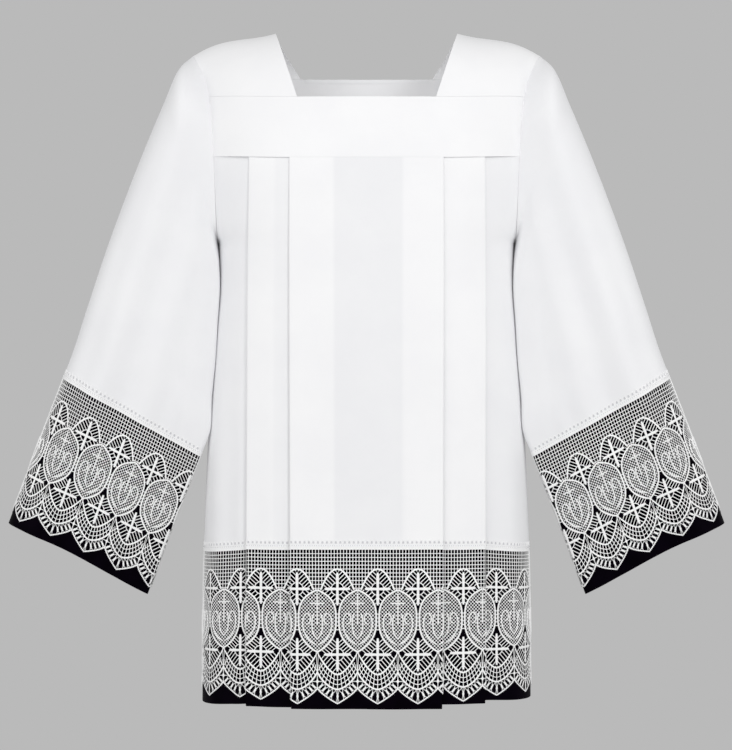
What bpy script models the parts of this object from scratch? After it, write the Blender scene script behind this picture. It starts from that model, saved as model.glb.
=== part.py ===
"""A white surplice with a square yoke, pleated body, wide sleeves and lace-trimmed hems.

Metres, +Z up, the wearer faces -Y. The origin lies between the shoulders, where the wearer
carries the garment. Every sheet of cloth is a closed wall: a grid of points on the middle of
the cloth, moved out and in by half the wall, with rims round its edges.
"""

from collections import namedtuple

import bpy
import numpy as np

# ---------------------------------------------------------------- cloth
WALL = 0.0010            # thickness of every cloth wall
SEAM_GAP = 0.0003        # space left between two pieces at a seam
STRAP_GAP = 0.0005       # and where the shoulder straps bend away from the yokes
LAYER_OFFSET = 0.00065   # lace lies this far outside the cloth's middle, the lining as far inside

# ---------------------------------------------------------------- heights, downwards negative
YOKE_TOP_FRONT = -0.080   # front neckline
YOKE_SEAM_FRONT = -0.157  # front yoke to pleated panel
YOKE_TOP_BACK = -0.034    # back neckline
YOKE_SEAM_BACK = -0.124   # back yoke to pleated panel
YOKE_SIDE_RISE = 0.0050   # the yoke's edges climb this much towards the armholes
YOKE_ROUNDING = 6         # power of the yoke's descent from the pleats to the armholes
FLAT_SHARE = 0.4          # share of the half width where yoke edges and hems stay level
SIDE_SHARE = 0.72         # share of the half width where the hem starts towards the side seam
EASE_SHARE = 0.8          # share of the half width past which the cloth is eased to the side

# One row for each lower edge and side of the body: its height on the middle panel, on the
# panel between the folds, beside the outer fold and at the side seam.
Hem = namedtuple("Hem", "piece side middle panel fold seam")
HEMS = (
    Hem("cloth", "left", -0.6470, -0.6480, -0.6490, -0.6550),
    Hem("cloth", "right", -0.6470, -0.6480, -0.6490, -0.6550),
    Hem("lace", "left", -0.8407, -0.8370, -0.8355, -0.8384),
    Hem("lace", "right", -0.8407, -0.8390, -0.8345, -0.8335),
    Hem("lining", "left", -0.8468, -0.8457, -0.8437, -0.8486),
    Hem("lining", "right", -0.8470, -0.8422, -0.8391, -0.8426),
)
LINING_PAST_LACE = 0.0055  # on the sleeves the lining hangs this much lower than the lace

# ---------------------------------------------------------------- neck, shoulder, armhole
NECK_FRONT_HALF = 0.0870    # half width of the square neck at the front
NECK_BACK_HALF = 0.0880     # and at the back
NECK_RIDGE_HALF = 0.1177    # and on the shoulder ridge
NECK_RIDGE_HEIGHT = 0.0120
RIDGE_RISE = 0.0130         # how far the shoulder ridge bows up, more towards the tip
RIDGE_DIP = 0.0004          # and how far it dips beside the neck
SHOULDER_TIP_HALF = 0.2256
SHOULDER_TIP_HEIGHT = -0.0166
UNDERARM_HALF = 0.1900
UNDERARM_HEIGHT = -0.2595
ARMHOLE_HALF_DEPTH = 0.0620
ARMHOLE_LEAN = 0.0100       # outward lean of the armhole over its whole height
SHOULDER_TURN = 7           # power of the last outward curve at the shoulder tip
SECTION_POWER = 2.5         # 2 is an ellipse, more is flatter in front

# One row for each height where the body's section is fixed. half_width is at the side seam,
# the depths reach the innermost layer of cloth, pleat_pitch is the distance between layers.
Section = namedtuple("Section", "height half_width front_depth back_depth pleat_pitch")
SECTIONS = (
    Section(-0.034, 0.2000, 0.0900, 0.0945, 0.0014),
    Section(-0.080, 0.1960, 0.0970, 0.1020, 0.0014),
    Section(-0.157, 0.1930, 0.1090, 0.1090, 0.0014),
    Section(-0.2595, 0.1900, 0.1110, 0.1110, 0.0022),
    Section(-0.300, 0.1885, 0.1112, 0.1112, 0.0024),
    Section(-0.366, 0.1940, 0.1115, 0.1115, 0.0026),
    Section(-0.503, 0.2035, 0.1120, 0.1120, 0.0029),
    Section(-0.646, 0.2095, 0.1125, 0.1125, 0.0032),
    Section(-0.860, 0.2125, 0.1130, 0.1130, 0.0032),
)

# One row for each pleat: side of the body, place of its fold at the yoke and at the hem
# measured from the middle of the body, and how far the cloth runs back under the fold.
Pleat = namedtuple("Pleat", "side order fold_top fold_hem under")
PLEATS = (
    Pleat("left", "inner", 0.0959, 0.0935, 0.0534),
    Pleat("left", "outer", 0.1468, 0.1504, 0.0367),
    Pleat("right", "inner", 0.0957, 0.0937, 0.0487),
    Pleat("right", "outer", 0.1479, 0.1479, 0.0523),
)
TOP_LEVEL = 4              # the middle panel lies four layers out

# One row for each ring of a sleeve, from armhole to cuff. The section is an egg: a large
# round at the outer edge, a small one at the lower edge, joined by two straight runs.
Ring = namedtuple("Ring", "outer_x outer_y outer_z inner_x inner_y inner_z outer_round inner_round")
SLEEVE_RINGS = (
    Ring(0.2395, -0.002, -0.0335, 0.1922, -0.006, -0.2841, 0.0660, 0.0440),
    Ring(0.2624, -0.005, -0.0856, 0.1905, -0.022, -0.3143, 0.0640, 0.0270),
    Ring(0.2947, -0.010, -0.1644, 0.1912, -0.046, -0.3660, 0.0590, 0.0120),
    Ring(0.3308, -0.015, -0.2618, 0.1947, -0.055, -0.4134, 0.0530, 0.0050),
    Ring(0.3587, -0.020, -0.3460, 0.1986, -0.055, -0.4619, 0.0500, 0.0045),
    Ring(0.3752, -0.020, -0.3964, 0.2001, -0.054, -0.5015, 0.0480, 0.0045),
    Ring(0.3896, -0.020, -0.4339, 0.2130, -0.050, -0.5341, 0.0470, 0.0045),
    Ring(0.4258, -0.020, -0.5269, 0.2466, -0.045, -0.6183, 0.0460, 0.0045),
    Ring(0.4610, -0.020, -0.6199, 0.2804, -0.040, -0.7110, 0.0450, 0.0045),
)
SLEEVE_LACE_RING = 6       # the row of SLEEVE_RINGS where the lace begins
ARMHOLE_STEP_TOP = 0.0012  # room between body and sleeve at the shoulder tip
ARMHOLE_STEP_LOW = 0.0018  # and at the underarm, where both hang straight down

MIRROR = np.array([-1.0, 1.0, 1.0])  # turns the right side's points into the left side's

# One row for each cloth: its colour and how matt it is.
Cloth = namedtuple("Cloth", "colour roughness")
WHITE_CLOTH = Cloth((0.93, 0.93, 0.94), 0.75)
LACE_THREAD = Cloth((0.88, 0.88, 0.88), 0.85)
DARK_LINING = Cloth((0.010, 0.004, 0.014), 0.45)

# ---------------------------------------------------------------- how finely the walls are cut
SIDE_STEPS = 5
HIDDEN_STEPS = 2
PANEL_STEPS = 3
MIDDLE_STEPS = 2
TURN_STEPS = 4
LARGE_STEPS = 6
STRAIGHT_STEPS = 3
SMALL_STEPS = 3
YOKE_ROWS = 4
YOKE_STEPS = 9
STRAP_ROWS = 10
STRAP_STEPS = 8
CLOTH_SHARES = (0.0, 0.11, 0.21, 0.32, 0.64, 1.0)
BAND_SHARES = (0.0, 0.5, 1.0)


def section_value(column, height):
    """A column of SECTIONS at any height, by straight lines between its rows."""
    rows = sorted(SECTIONS, key=lambda row: row.height)
    heights = [row.height for row in rows]
    return np.interp(height, heights, [getattr(row, column) for row in rows])


def armhole_half_width(height):
    """Distance of the armhole from the middle of the body: a lean plus a steep last curve."""
    share = (height - UNDERARM_HEIGHT) / (SHOULDER_TIP_HEIGHT - UNDERARM_HEIGHT)
    share = np.clip(share, 0.0, 1.0)
    last = SHOULDER_TIP_HALF - UNDERARM_HALF - ARMHOLE_LEAN
    return UNDERARM_HALF + ARMHOLE_LEAN * share + last * share ** SHOULDER_TURN


def armhole_half_depth(height):
    """Half depth of the armhole at a height: an ellipse standing on the underarm."""
    middle = 0.5 * (SHOULDER_TIP_HEIGHT + UNDERARM_HEIGHT)
    reach = 0.5 * (SHOULDER_TIP_HEIGHT - UNDERARM_HEIGHT)
    share = np.clip((height - middle) / reach, -1.0, 1.0)
    return ARMHOLE_HALF_DEPTH * np.sqrt(1.0 - share ** 2)


def side_point(height):
    """Where a section ends: on the armhole above the underarm, at the side seam below it."""
    above = height > UNDERARM_HEIGHT
    across = np.where(above, armhole_half_width(height), section_value("half_width", height))
    depth = np.where(above, armhole_half_depth(height), 0.0)
    return across, depth


def body_point(across, level, height, face):
    """A point of the body: a superellipse |x/a|^p + |y/b|^p = 1 at its height, then moved
    out along its normal by level times the pleat pitch. face is -1 in front, +1 behind."""
    depth_column = "front_depth" if face < 0 else "back_depth"
    depth = section_value(depth_column, height)
    side, side_depth = side_point(height)
    power = SECTION_POWER
    width = side / (1.0 - (side_depth / depth) ** power) ** (1.0 / power)
    ratio = np.clip(np.abs(across) / width, 0.0, 1.0)
    along = depth * (1.0 - ratio ** power) ** (1.0 / power)
    normal_x = np.sign(across) * ratio ** (power - 1.0) / width
    normal_y = (along / depth) ** (power - 1.0) / depth
    size = np.hypot(normal_x, normal_y)
    out = level * section_value("pleat_pitch", height)
    x = across + out * normal_x / size
    y = along + out * normal_y / size
    return np.stack([x, face * y, height + 0.0 * x], axis=-1)


def side_run(start, height, face, steps):
    """Distances from the middle between start and the side, closer together towards the side,
    because the section turns there: equal steps of the superellipse's own angle."""
    depth_column = "front_depth" if face < 0 else "back_depth"
    depth = section_value(depth_column, height)
    side, side_depth = side_point(height)
    power = SECTION_POWER
    width = side / (1.0 - (side_depth / depth) ** power) ** (1.0 / power)
    first = np.arccos((start / width) ** (power / 2.0))
    last = np.arccos(np.clip(side / width, 0.0, 1.0) ** (power / 2.0))
    share = np.linspace(0.0, 1.0, steps + 1)
    angle = first[..., None] + (last - first)[..., None] * share
    return width[..., None] * np.cos(angle) ** (2.0 / power)


def pleat_row(side, order):
    """The row of PLEATS for one fold."""
    return next(row for row in PLEATS if row.side == side and row.order == order)


def fold_place(pleat, height):
    """Distance of a fold from the middle at a height, straight from the yoke to the hem."""
    share = (height - YOKE_SEAM_FRONT) / (HEMS[-1].middle - YOKE_SEAM_FRONT)
    return pleat.fold_top + (pleat.fold_hem - pleat.fold_top) * share


def half_path(side, heights, face):
    """Cloth path from the middle of the body to one side, as distance and level for each
    height: the middle panel, under its fold and back, the next panel, under and back, and
    the run to the side. Each turn is half a circle as wide as the pleat pitch."""
    inner = pleat_row(side, "inner")
    outer = pleat_row(side, "outer")
    fold_one = fold_place(inner, heights)
    fold_two = fold_place(outer, heights)
    radius = 0.5 * section_value("pleat_pitch", heights)
    places, levels = [], []

    def run(start, end, level, steps):
        share = np.linspace(0.0, 1.0, steps + 1)[:-1]
        places.append(start[:, None] + (end - start)[:, None] * share)
        levels.append(np.full(share.shape, float(level)) + 0.0 * start[:, None])

    def turn(edge, level, way):
        angle = np.linspace(0.0, np.pi, TURN_STEPS + 1)[:-1]
        centre = edge - way * radius
        places.append(centre[:, None] + way * radius[:, None] * np.sin(angle))
        levels.append(level - 0.5 + 0.5 * np.cos(angle) + 0.0 * edge[:, None])

    under_one = fold_one - inner.under
    under_two = fold_two - outer.under
    run(0.0 * fold_one, fold_one - radius, TOP_LEVEL, MIDDLE_STEPS)
    turn(fold_one, TOP_LEVEL, 1.0)
    run(fold_one - radius, under_one + radius, TOP_LEVEL - 1, HIDDEN_STEPS)
    turn(under_one, TOP_LEVEL - 1, -1.0)
    run(under_one + radius, fold_two - radius, TOP_LEVEL - 2, PANEL_STEPS)
    turn(fold_two, TOP_LEVEL - 2, 1.0)
    run(fold_two - radius, under_two + radius, TOP_LEVEL - 3, HIDDEN_STEPS)
    turn(under_two, TOP_LEVEL - 3, -1.0)
    last = side_run(under_two + radius, heights, face, SIDE_STEPS)
    places.append(last)
    levels.append(0.0 * last)
    return np.concatenate(places, axis=1), np.concatenate(levels, axis=1)


def side_ease(share):
    """0 over the middle of the body, growing as a square to 1 at the sides."""
    return np.clip((np.abs(share) - FLAT_SHARE) / (1.0 - FLAT_SHARE), 0.0, 1.0) ** 2


def hem_height(piece, side, share, level):
    """Height of a lower edge: straight lines between its layers, then to the side seam."""
    row = next(hem for hem in HEMS if (hem.piece, hem.side) == (piece, side))
    by_level = np.interp(level, [0.0, TOP_LEVEL / 2, TOP_LEVEL], [row.fold, row.panel, row.middle])
    to_seam = np.clip((share - SIDE_SHARE) / (1.0 - SIDE_SHARE), 0.0, 1.0) * (level == 0)
    return by_level + (row.seam - row.fold) * to_seam


def pleated_grid(top, bottom, shares, face):
    """Grid of a pleated panel: rows run down by shares of the height, columns follow the cloth
    from the left side through every pleat to the right side. top and bottom name a lower edge
    of HEMS, or top is the height of a yoke seam."""
    shares = np.asarray(shares)
    halves = []
    at_seam = isinstance(top, float)
    first, last = (top, HEMS[0].middle) if at_seam else (HEMS[0].middle, HEMS[-1].middle)
    guide = first + (last - first) * shares
    for side, sign in (("left", -1.0), ("right", 1.0)):
        across, level = half_path(side, guide, face)
        ends, _ = side_point(guide)
        share = across / ends[:, None]
        if at_seam:
            high = top + YOKE_SIDE_RISE * side_ease(share)
        else:
            high = hem_height(top, side, share, level) - SEAM_GAP
        low = hem_height(bottom, side, share, level)
        height = high + (low - high) * shares[:, None]
        scale = side_point(height)[0] / ends[:, None]
        eased = np.clip((share - EASE_SHARE) / (1.0 - EASE_SHARE), 0.0, 1.0)
        placed = across * (1.0 + (scale - 1.0) * eased)
        points = body_point(sign * placed, level, height, face)
        points[..., 1] += face * 0.5 * SEAM_GAP
        halves.append(points)
    left = halves[0][:, ::-1]
    right = halves[1][:, 1:]
    return np.concatenate([left, right], axis=1)


def yoke_level(across, height):
    """The yoke covers the whole stack of pleats and comes down to one layer at the armholes."""
    share = np.abs(across) / side_point(height)[0]
    return TOP_LEVEL * (1.0 - share ** YOKE_ROUNDING)


def yoke_grid(top, bottom, face):
    """Grid of a yoke band, from the left armhole to the right one."""
    heights = np.linspace(top, bottom, YOKE_ROWS)
    half = side_run(0.0 * heights, heights, face, YOKE_STEPS)
    across = np.concatenate([-half[:, ::-1], half[:, 1:]], axis=1)
    share = across / side_point(heights)[0][:, None]
    height = heights[:, None] + YOKE_SIDE_RISE * side_ease(share)
    placed = share * side_point(height)[0]
    return body_point(placed, yoke_level(placed, height), height, face)


def yoke_edge(start, height, face, steps):
    """Points of a yoke's upper edge from the neck corner to the armhole, right side."""
    end = side_point(np.array(height + YOKE_SIDE_RISE))[0]
    run = start + (end - start) * np.linspace(0.0, 1.0, steps + 1)
    heights = height + YOKE_SIDE_RISE * side_ease(run / end)
    return body_point(run, yoke_level(run, heights), heights, face)


def strap_grid(around, across):
    """Right shoulder strap, from the front yoke over the ridge to the back yoke. A Coons
    patch between its four edges, with the ridge's own rise added where it crosses the top."""
    turn = np.linspace(-1.0, 1.0, around + 1)
    share = np.linspace(0.0, 1.0, across + 1)
    front = yoke_edge(NECK_FRONT_HALF, YOKE_TOP_FRONT + STRAP_GAP, -1, across)
    back = yoke_edge(NECK_BACK_HALF, YOKE_TOP_BACK + STRAP_GAP, 1, across)
    angle = turn * np.pi / 2.0
    low = np.where(turn[:, None] < 0, front[0], back[0])
    neck = np.empty((around + 1, 3))
    neck[:, 0] = low[:, 0] + (NECK_RIDGE_HALF - low[:, 0]) * np.cos(angle)
    neck[:, 1] = np.abs(low[:, 1]) * np.sin(angle)
    neck[:, 2] = low[:, 2] + (NECK_RIDGE_HEIGHT - low[:, 2]) * np.cos(angle)
    middle = 0.5 * (SHOULDER_TIP_HEIGHT + UNDERARM_HEIGHT)
    reach = 0.5 * (SHOULDER_TIP_HEIGHT - UNDERARM_HEIGHT)
    last = np.where(turn < 0, front[-1, 2], back[-1, 2])
    swing = np.abs(turn) * np.arccos((last - middle) / reach)
    tip = np.empty((around + 1, 3))
    tip[:, 2] = middle + reach * np.cos(swing)
    tip[:, 0] = armhole_half_width(tip[:, 2])
    ends_y = np.where(turn < 0, front[-1, 1], back[-1, 1])
    tip[:, 1] = ends_y * np.sin(swing) / np.sin(np.arccos((last - middle) / reach))
    along = ((turn + 1.0) / 2.0)[:, None, None]
    side = share[None, :, None]
    ruled = (1 - side) * neck[:, None] + side * tip[:, None]
    lofted = (1 - along) * front[None] + along * back[None]
    corners = ((1 - along) * ((1 - side) * front[0] + side * front[-1])
               + along * ((1 - side) * back[0] + side * back[-1]))
    grid = ruled + lofted - corners
    rise = np.sin(np.pi * share) * (RIDGE_RISE * share - RIDGE_DIP)
    level_gap = ruled[around // 2, :, 2] - grid[around // 2, :, 2]
    weight = np.cos(angle) ** 2
    grid[..., 2] += weight[:, None] * (rise + level_gap)[None, :]
    return grid


def egg_lengths(length, large, small):
    """Lengths of the three parts of half an egg: large arc, straight tangent, small arc, and
    the lean of the tangent to the egg's axis."""
    between = length - large - small
    lean = np.arcsin((large - small) / between)
    return large * (np.pi / 2 + lean), between * np.cos(lean), small * (np.pi / 2 - lean), lean


def egg_half(length, large, small):
    """Half an egg of a given length, from its large end to its small end: an arc of the large
    radius, a straight tangent, an arc of the small radius, each cut into its own steps. Gives
    the distance along the axis, the half width and the share of the half perimeter."""
    first, straight, last, lean = egg_lengths(length, large, small)
    arc = np.linspace(0.0, first, LARGE_STEPS + 1)[:-1]
    line = np.linspace(0.0, straight, STRAIGHT_STEPS + 1)[:-1]
    end = np.linspace(0.0, last, SMALL_STEPS + 1)
    start_angle = np.pi / 2 + lean
    along = np.concatenate([
        large - large * np.cos(arc / large),
        large - large * np.cos(start_angle) + line * np.cos(lean),
        length - small - small * np.cos(start_angle + end / small),
    ])
    half = np.concatenate([
        large * np.sin(arc / large),
        large * np.sin(start_angle) - line * np.sin(lean),
        small * np.sin(start_angle + end / small),
    ])
    run = np.concatenate([arc, first + line, first + straight + end])
    return along, half, run / run[-1]


def ring_axis(ring):
    """Outer point, length and direction of a ring's long axis."""
    outer = np.array([ring.outer_x, ring.outer_y, ring.outer_z])
    inner = np.array([ring.inner_x, ring.inner_y, ring.inner_z])
    length = np.linalg.norm(inner - outer)
    return outer, length, (inner - outer) / length


def sleeve_ring(ring):
    """Closed ring of the right sleeve: down the front from outer to lower edge, up the back."""
    outer, length, axis = ring_axis(ring)
    across = np.array([0.0, 1.0, 0.0]) - axis * axis[1]
    across /= np.linalg.norm(across)
    along, half, _ = egg_half(length, ring.outer_round, ring.inner_round)
    front = outer + along[:, None] * axis - half[:, None] * across
    back = outer + along[:, None] * axis + half[:, None] * across
    return np.concatenate([front[:-1], back[:0:-1]])


def armhole_ring(next_ring):
    """Closed ring on the right armhole, stepped out from the body by the seam's room. Its
    points sit at the same shares of the way round as those of the next ring."""
    _, length, _ = ring_axis(next_ring)
    _, _, share = egg_half(length, next_ring.outer_round, next_ring.inner_round)
    middle = 0.5 * (SHOULDER_TIP_HEIGHT + UNDERARM_HEIGHT)
    reach = 0.5 * (SHOULDER_TIP_HEIGHT - UNDERARM_HEIGHT)
    fine = np.linspace(0.0, np.pi, 181)
    steps = np.hypot(ARMHOLE_HALF_DEPTH * np.diff(np.sin(fine)), reach * np.diff(np.cos(fine)))
    walked = np.concatenate([[0.0], np.cumsum(steps)])
    half = np.interp(share, walked / walked[-1], fine)
    angle = np.concatenate([half[:-1], 2.0 * np.pi - half[:0:-1]])
    height = middle + reach * np.cos(angle)
    rise = 0.5 * (1.0 + np.cos(angle))
    step = ARMHOLE_STEP_LOW + (ARMHOLE_STEP_TOP - ARMHOLE_STEP_LOW) * rise
    x = armhole_half_width(height) + step
    y = -ARMHOLE_HALF_DEPTH * np.sin(angle)
    return np.stack([x, y, height], axis=-1)


def ring_between(first, second, share):
    """The ring at a share of the way between two rows of the sleeve table."""
    return Ring(*(a + (b - a) * share for a, b in zip(first, second)))


def sleeve_grids():
    """Grids of the right sleeve's cloth, lace and lining, each a tube of closed rings."""
    lace_row = SLEEVE_RINGS[SLEEVE_LACE_RING]
    before = SLEEVE_RINGS[SLEEVE_LACE_RING - 1]
    reach = np.hypot(lace_row.outer_x - before.outer_x, lace_row.outer_z - before.outer_z)
    cloth_end = ring_between(before, lace_row, 1.0 - SEAM_GAP / reach)
    cloth_rows = list(SLEEVE_RINGS[:SLEEVE_LACE_RING]) + [cloth_end]
    cloth = np.stack([armhole_ring(SLEEVE_RINGS[0])] + [sleeve_ring(row) for row in cloth_rows])
    last, cuff = SLEEVE_RINGS[-2:]
    run = np.hypot(cuff.outer_x - last.outer_x, cuff.outer_z - last.outer_z)
    lace_end = ring_between(last, cuff, 1.0 - LINING_PAST_LACE / run)
    lace_rows = list(SLEEVE_RINGS[SLEEVE_LACE_RING:-1]) + [lace_end]
    lace = np.stack([sleeve_ring(row) for row in lace_rows])
    lining_rows = SLEEVE_RINGS[SLEEVE_LACE_RING:]
    lining = np.stack([sleeve_ring(row) for row in lining_rows])
    return cloth, lace, lining


def grid_normals(grid, closed):
    """Unit normals of a grid from the differences along its two directions."""
    down = np.gradient(grid, axis=0)
    if closed:
        along = np.roll(grid, -1, axis=1) - np.roll(grid, 1, axis=1)
    else:
        along = np.gradient(grid, axis=1)
    normal = np.cross(along, down)
    return normal / np.linalg.norm(normal, axis=-1, keepdims=True)


def wall_mesh(name, grid, offset, closed, outward):
    """Closed wall on a grid: a skin half a wall outside, a skin half a wall inside, and rims,
    with every four points split along the same diagonal, so that layers stay parallel.
    outward is +1 where the grid's own normals point out of the garment, else -1."""
    normal = grid_normals(grid, closed) * outward
    outer = grid + normal * (offset + 0.5 * WALL)
    inner = grid + normal * (offset - 0.5 * WALL)
    rows, columns = grid.shape[:2]
    count = rows * columns
    index = np.arange(count).reshape(rows, columns)
    if closed:
        index = np.concatenate([index, index[:, :1]], axis=1)
    a, b = index[:-1, :-1].ravel(), index[:-1, 1:].ravel()
    c, d = index[1:, 1:].ravel(), index[1:, :-1].ravel()
    skin = np.concatenate([np.stack([a, b, c], axis=1), np.stack([a, c, d], axis=1)])
    faces = [skin, skin[:, ::-1] + count]

    def rim(edge):
        first, last = edge[1:], edge[:-1]
        return np.concatenate([np.stack([first, last, last + count], axis=1),
                               np.stack([first, last + count, first + count], axis=1)])

    faces.append(rim(index[0]))
    faces.append(rim(index[-1][::-1]))
    if not closed:
        faces.append(rim(index[::-1, 0]))
        faces.append(rim(index[:, -1]))
    triangles = np.concatenate(faces)
    if outward < 0:
        triangles = triangles[:, ::-1]
    vertices = np.concatenate([outer.reshape(-1, 3), inner.reshape(-1, 3)])
    mesh = bpy.data.meshes.new(name)
    mesh.from_pydata(vertices.tolist(), [], triangles.tolist())
    mesh.shade_smooth()
    return mesh


def make_material(name, cloth):
    """A plain Principled material of one cloth."""
    material = bpy.data.materials.new(name)
    material.use_nodes = True
    shader = material.node_tree.nodes["Principled BSDF"]
    shader.inputs["Base Color"].default_value = (*cloth.colour, 1.0)
    shader.inputs["Roughness"].default_value = cloth.roughness
    shader.inputs["Metallic"].default_value = 0.0
    return material


def add_piece(name, grid, cloth, offset=0.0, closed=False, outward=1):
    """One named object for one piece of cloth."""
    mesh = wall_mesh(name, grid, offset, closed, outward)
    mesh.materials.append(make_material(name, cloth))
    piece = bpy.data.objects.new(name, mesh)
    bpy.context.scene.collection.objects.link(piece)


def build_body():
    """Front and back: yoke, pleated panel, lace and lining."""
    for face, tag, yoke_top, yoke_seam in ((-1, "front", YOKE_TOP_FRONT, YOKE_SEAM_FRONT),
                                           (1, "back", YOKE_TOP_BACK, YOKE_SEAM_BACK)):
        yoke = yoke_grid(yoke_top, yoke_seam, face)
        panel = pleated_grid(yoke_seam - SEAM_GAP, "cloth", CLOTH_SHARES, face)
        lace = pleated_grid("cloth", "lace", BAND_SHARES, face)
        lining = pleated_grid("cloth", "lining", BAND_SHARES, face)
        add_piece("yoke_" + tag, yoke, WHITE_CLOTH, outward=face)
        add_piece("body_" + tag, panel, WHITE_CLOTH, outward=face)
        add_piece("lace_body_" + tag, lace, LACE_THREAD, LAYER_OFFSET, outward=face)
        add_piece("lining_body_" + tag, lining, DARK_LINING, -LAYER_OFFSET, outward=face)


def build_shoulders_and_sleeves():
    """Both shoulder straps and both sleeves, the left ones mirrored from the right ones."""
    strap = strap_grid(STRAP_ROWS, STRAP_STEPS)
    cloth, lace, lining = sleeve_grids()
    for tag, flip, way in (("left", MIRROR, -1), ("right", 1.0, 1)):
        add_piece("shoulder_" + tag, strap * flip, WHITE_CLOTH, outward=way)
        add_piece("sleeve_" + tag, cloth * flip, WHITE_CLOTH, 0.0, True, way)
        add_piece("lace_sleeve_" + tag, lace * flip, LACE_THREAD, LAYER_OFFSET, True, way)
        add_piece("lining_sleeve_" + tag, lining * flip, DARK_LINING, -LAYER_OFFSET, True, way)


def main():
    """Clear the scene and make every piece."""
    for thing in list(bpy.data.objects):
        bpy.data.objects.remove(thing, do_unlink=True)
    build_body()
    build_shoulders_and_sleeves()


main()
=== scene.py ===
"""A white surplice with lace bands and a dark lining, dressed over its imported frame.

Metres, +Z up, the wearer faces -Y and the origin lies between the shoulders. Every cloth is a
thin wall on a sheet: a grid of points with a flat coordinate along the cloth and one down it.
The lace is made of threads laid out flat and then placed on the sheet by those coordinates.
"""
from collections import namedtuple

import bpy
import numpy as np
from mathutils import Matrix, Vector


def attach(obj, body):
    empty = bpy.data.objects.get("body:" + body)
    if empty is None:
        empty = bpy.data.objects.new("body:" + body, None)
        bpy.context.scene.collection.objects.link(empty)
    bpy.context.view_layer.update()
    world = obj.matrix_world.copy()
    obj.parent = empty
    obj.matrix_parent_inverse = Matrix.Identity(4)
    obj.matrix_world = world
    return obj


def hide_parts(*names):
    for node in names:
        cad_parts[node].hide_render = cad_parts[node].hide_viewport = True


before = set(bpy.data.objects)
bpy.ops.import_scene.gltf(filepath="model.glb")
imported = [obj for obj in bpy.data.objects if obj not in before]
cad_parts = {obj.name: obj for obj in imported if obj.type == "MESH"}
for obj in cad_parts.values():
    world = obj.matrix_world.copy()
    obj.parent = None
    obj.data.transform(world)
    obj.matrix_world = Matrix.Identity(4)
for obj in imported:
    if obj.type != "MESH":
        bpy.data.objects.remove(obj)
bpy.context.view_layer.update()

# ---------------------------------------------------------------- cloth
WALL = 0.0010            # thickness of every cloth wall
SEAM_GAP = 0.0001        # space left between two pieces at a seam
STRAP_GAP = 0.0002       # and where the shoulder straps bend away from the yokes
LAYER_OFFSET = 0.00065   # lace lies this far outside the cloth's middle, the lining as far inside

# ---------------------------------------------------------------- heights, downwards negative
YOKE_TOP_FRONT = -0.080
YOKE_SEAM_FRONT = -0.157
YOKE_TOP_BACK = -0.034
YOKE_SEAM_BACK = -0.124
YOKE_SIDE_RISE = 0.0050   # the yoke's edges climb this much towards the armholes
YOKE_ROUNDING = 6         # power of the yoke's descent from the pleats to the armholes
FLAT_SHARE = 0.4          # share of the half width where yoke edges and hems stay level
SIDE_SHARE = 0.72         # share of the half width where the hem starts towards the side seam
EASE_SHARE = 0.8          # share of the half width past which the cloth is eased to the side

# One row for each lower edge and side of the body: its height on the middle panel, on the
# panel between the folds, beside the outer fold and at the side seam.
Hem = namedtuple("Hem", "piece side middle panel fold seam")
HEMS = (
    Hem("cloth", "left", -0.6470, -0.6480, -0.6490, -0.6550),
    Hem("cloth", "right", -0.6470, -0.6480, -0.6490, -0.6550),
    Hem("lace", "left", -0.8407, -0.8370, -0.8355, -0.8384),
    Hem("lace", "right", -0.8407, -0.8390, -0.8345, -0.8335),
    Hem("lining", "left", -0.8468, -0.8457, -0.8437, -0.8486),
    Hem("lining", "right", -0.8470, -0.8422, -0.8391, -0.8426),
)
CUFF_LIFT = 0.0070         # the cuff's middle is cut this much higher, front and back
LINING_PAST_LACE = 0.0055  # on the sleeves the lining hangs this much lower than the lace

# ---------------------------------------------------------------- neck, shoulder, armhole
NECK_FRONT_HALF = 0.0870
NECK_BACK_HALF = 0.0880
NECK_RIDGE_HALF = 0.1177
NECK_RIDGE_HEIGHT = 0.0120
RIDGE_RISE = 0.0130         # how far the shoulder ridge bows up, more towards the tip
RIDGE_DIP = 0.0004          # and how far it dips beside the neck
SHOULDER_TIP_HALF = 0.2256
SHOULDER_TIP_HEIGHT = -0.0166
UNDERARM_HALF = 0.1900
UNDERARM_HEIGHT = -0.2595
ARMHOLE_HALF_DEPTH = 0.0620
ARMHOLE_LOW_POWER = 5.0     # the armhole's lower half is fuller than an ellipse, whose power is 2
ARMHOLE_LEAN = 0.0100       # outward lean of the armhole over its whole height
ARMHOLE_MIDDLE = 0.5 * (SHOULDER_TIP_HEIGHT + UNDERARM_HEIGHT)
ARMHOLE_REACH = 0.5 * (SHOULDER_TIP_HEIGHT - UNDERARM_HEIGHT)
SHOULDER_TURN = 7           # power of the last outward curve at the shoulder tip
SECTION_POWER = 3.2         # 2 is an ellipse, more is flatter in front

# One row for each height where the body's section is fixed. half_width is at the side seam,
# the depths reach the innermost layer of cloth, pleat_pitch is the distance between layers.
Section = namedtuple("Section", "height half_width front_depth back_depth pleat_pitch")
SECTIONS = (
    Section(-0.860, 0.2125, 0.1130, 0.1130, 0.0032),
    Section(-0.646, 0.2095, 0.1125, 0.1125, 0.0032),
    Section(-0.503, 0.2035, 0.1120, 0.1120, 0.0029),
    Section(-0.366, 0.1945, 0.1115, 0.1115, 0.0026),
    Section(-0.312, 0.1903, 0.1112, 0.1112, 0.0024),
    Section(-0.284, 0.1900, 0.1111, 0.1111, 0.0023),
    Section(-0.2595, 0.1900, 0.1110, 0.1110, 0.0022),
    Section(-0.157, 0.1930, 0.1090, 0.1090, 0.0014),
    Section(-0.080, 0.1960, 0.0970, 0.1020, 0.0014),
    Section(-0.034, 0.2000, 0.0900, 0.0945, 0.0014),
)

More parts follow.
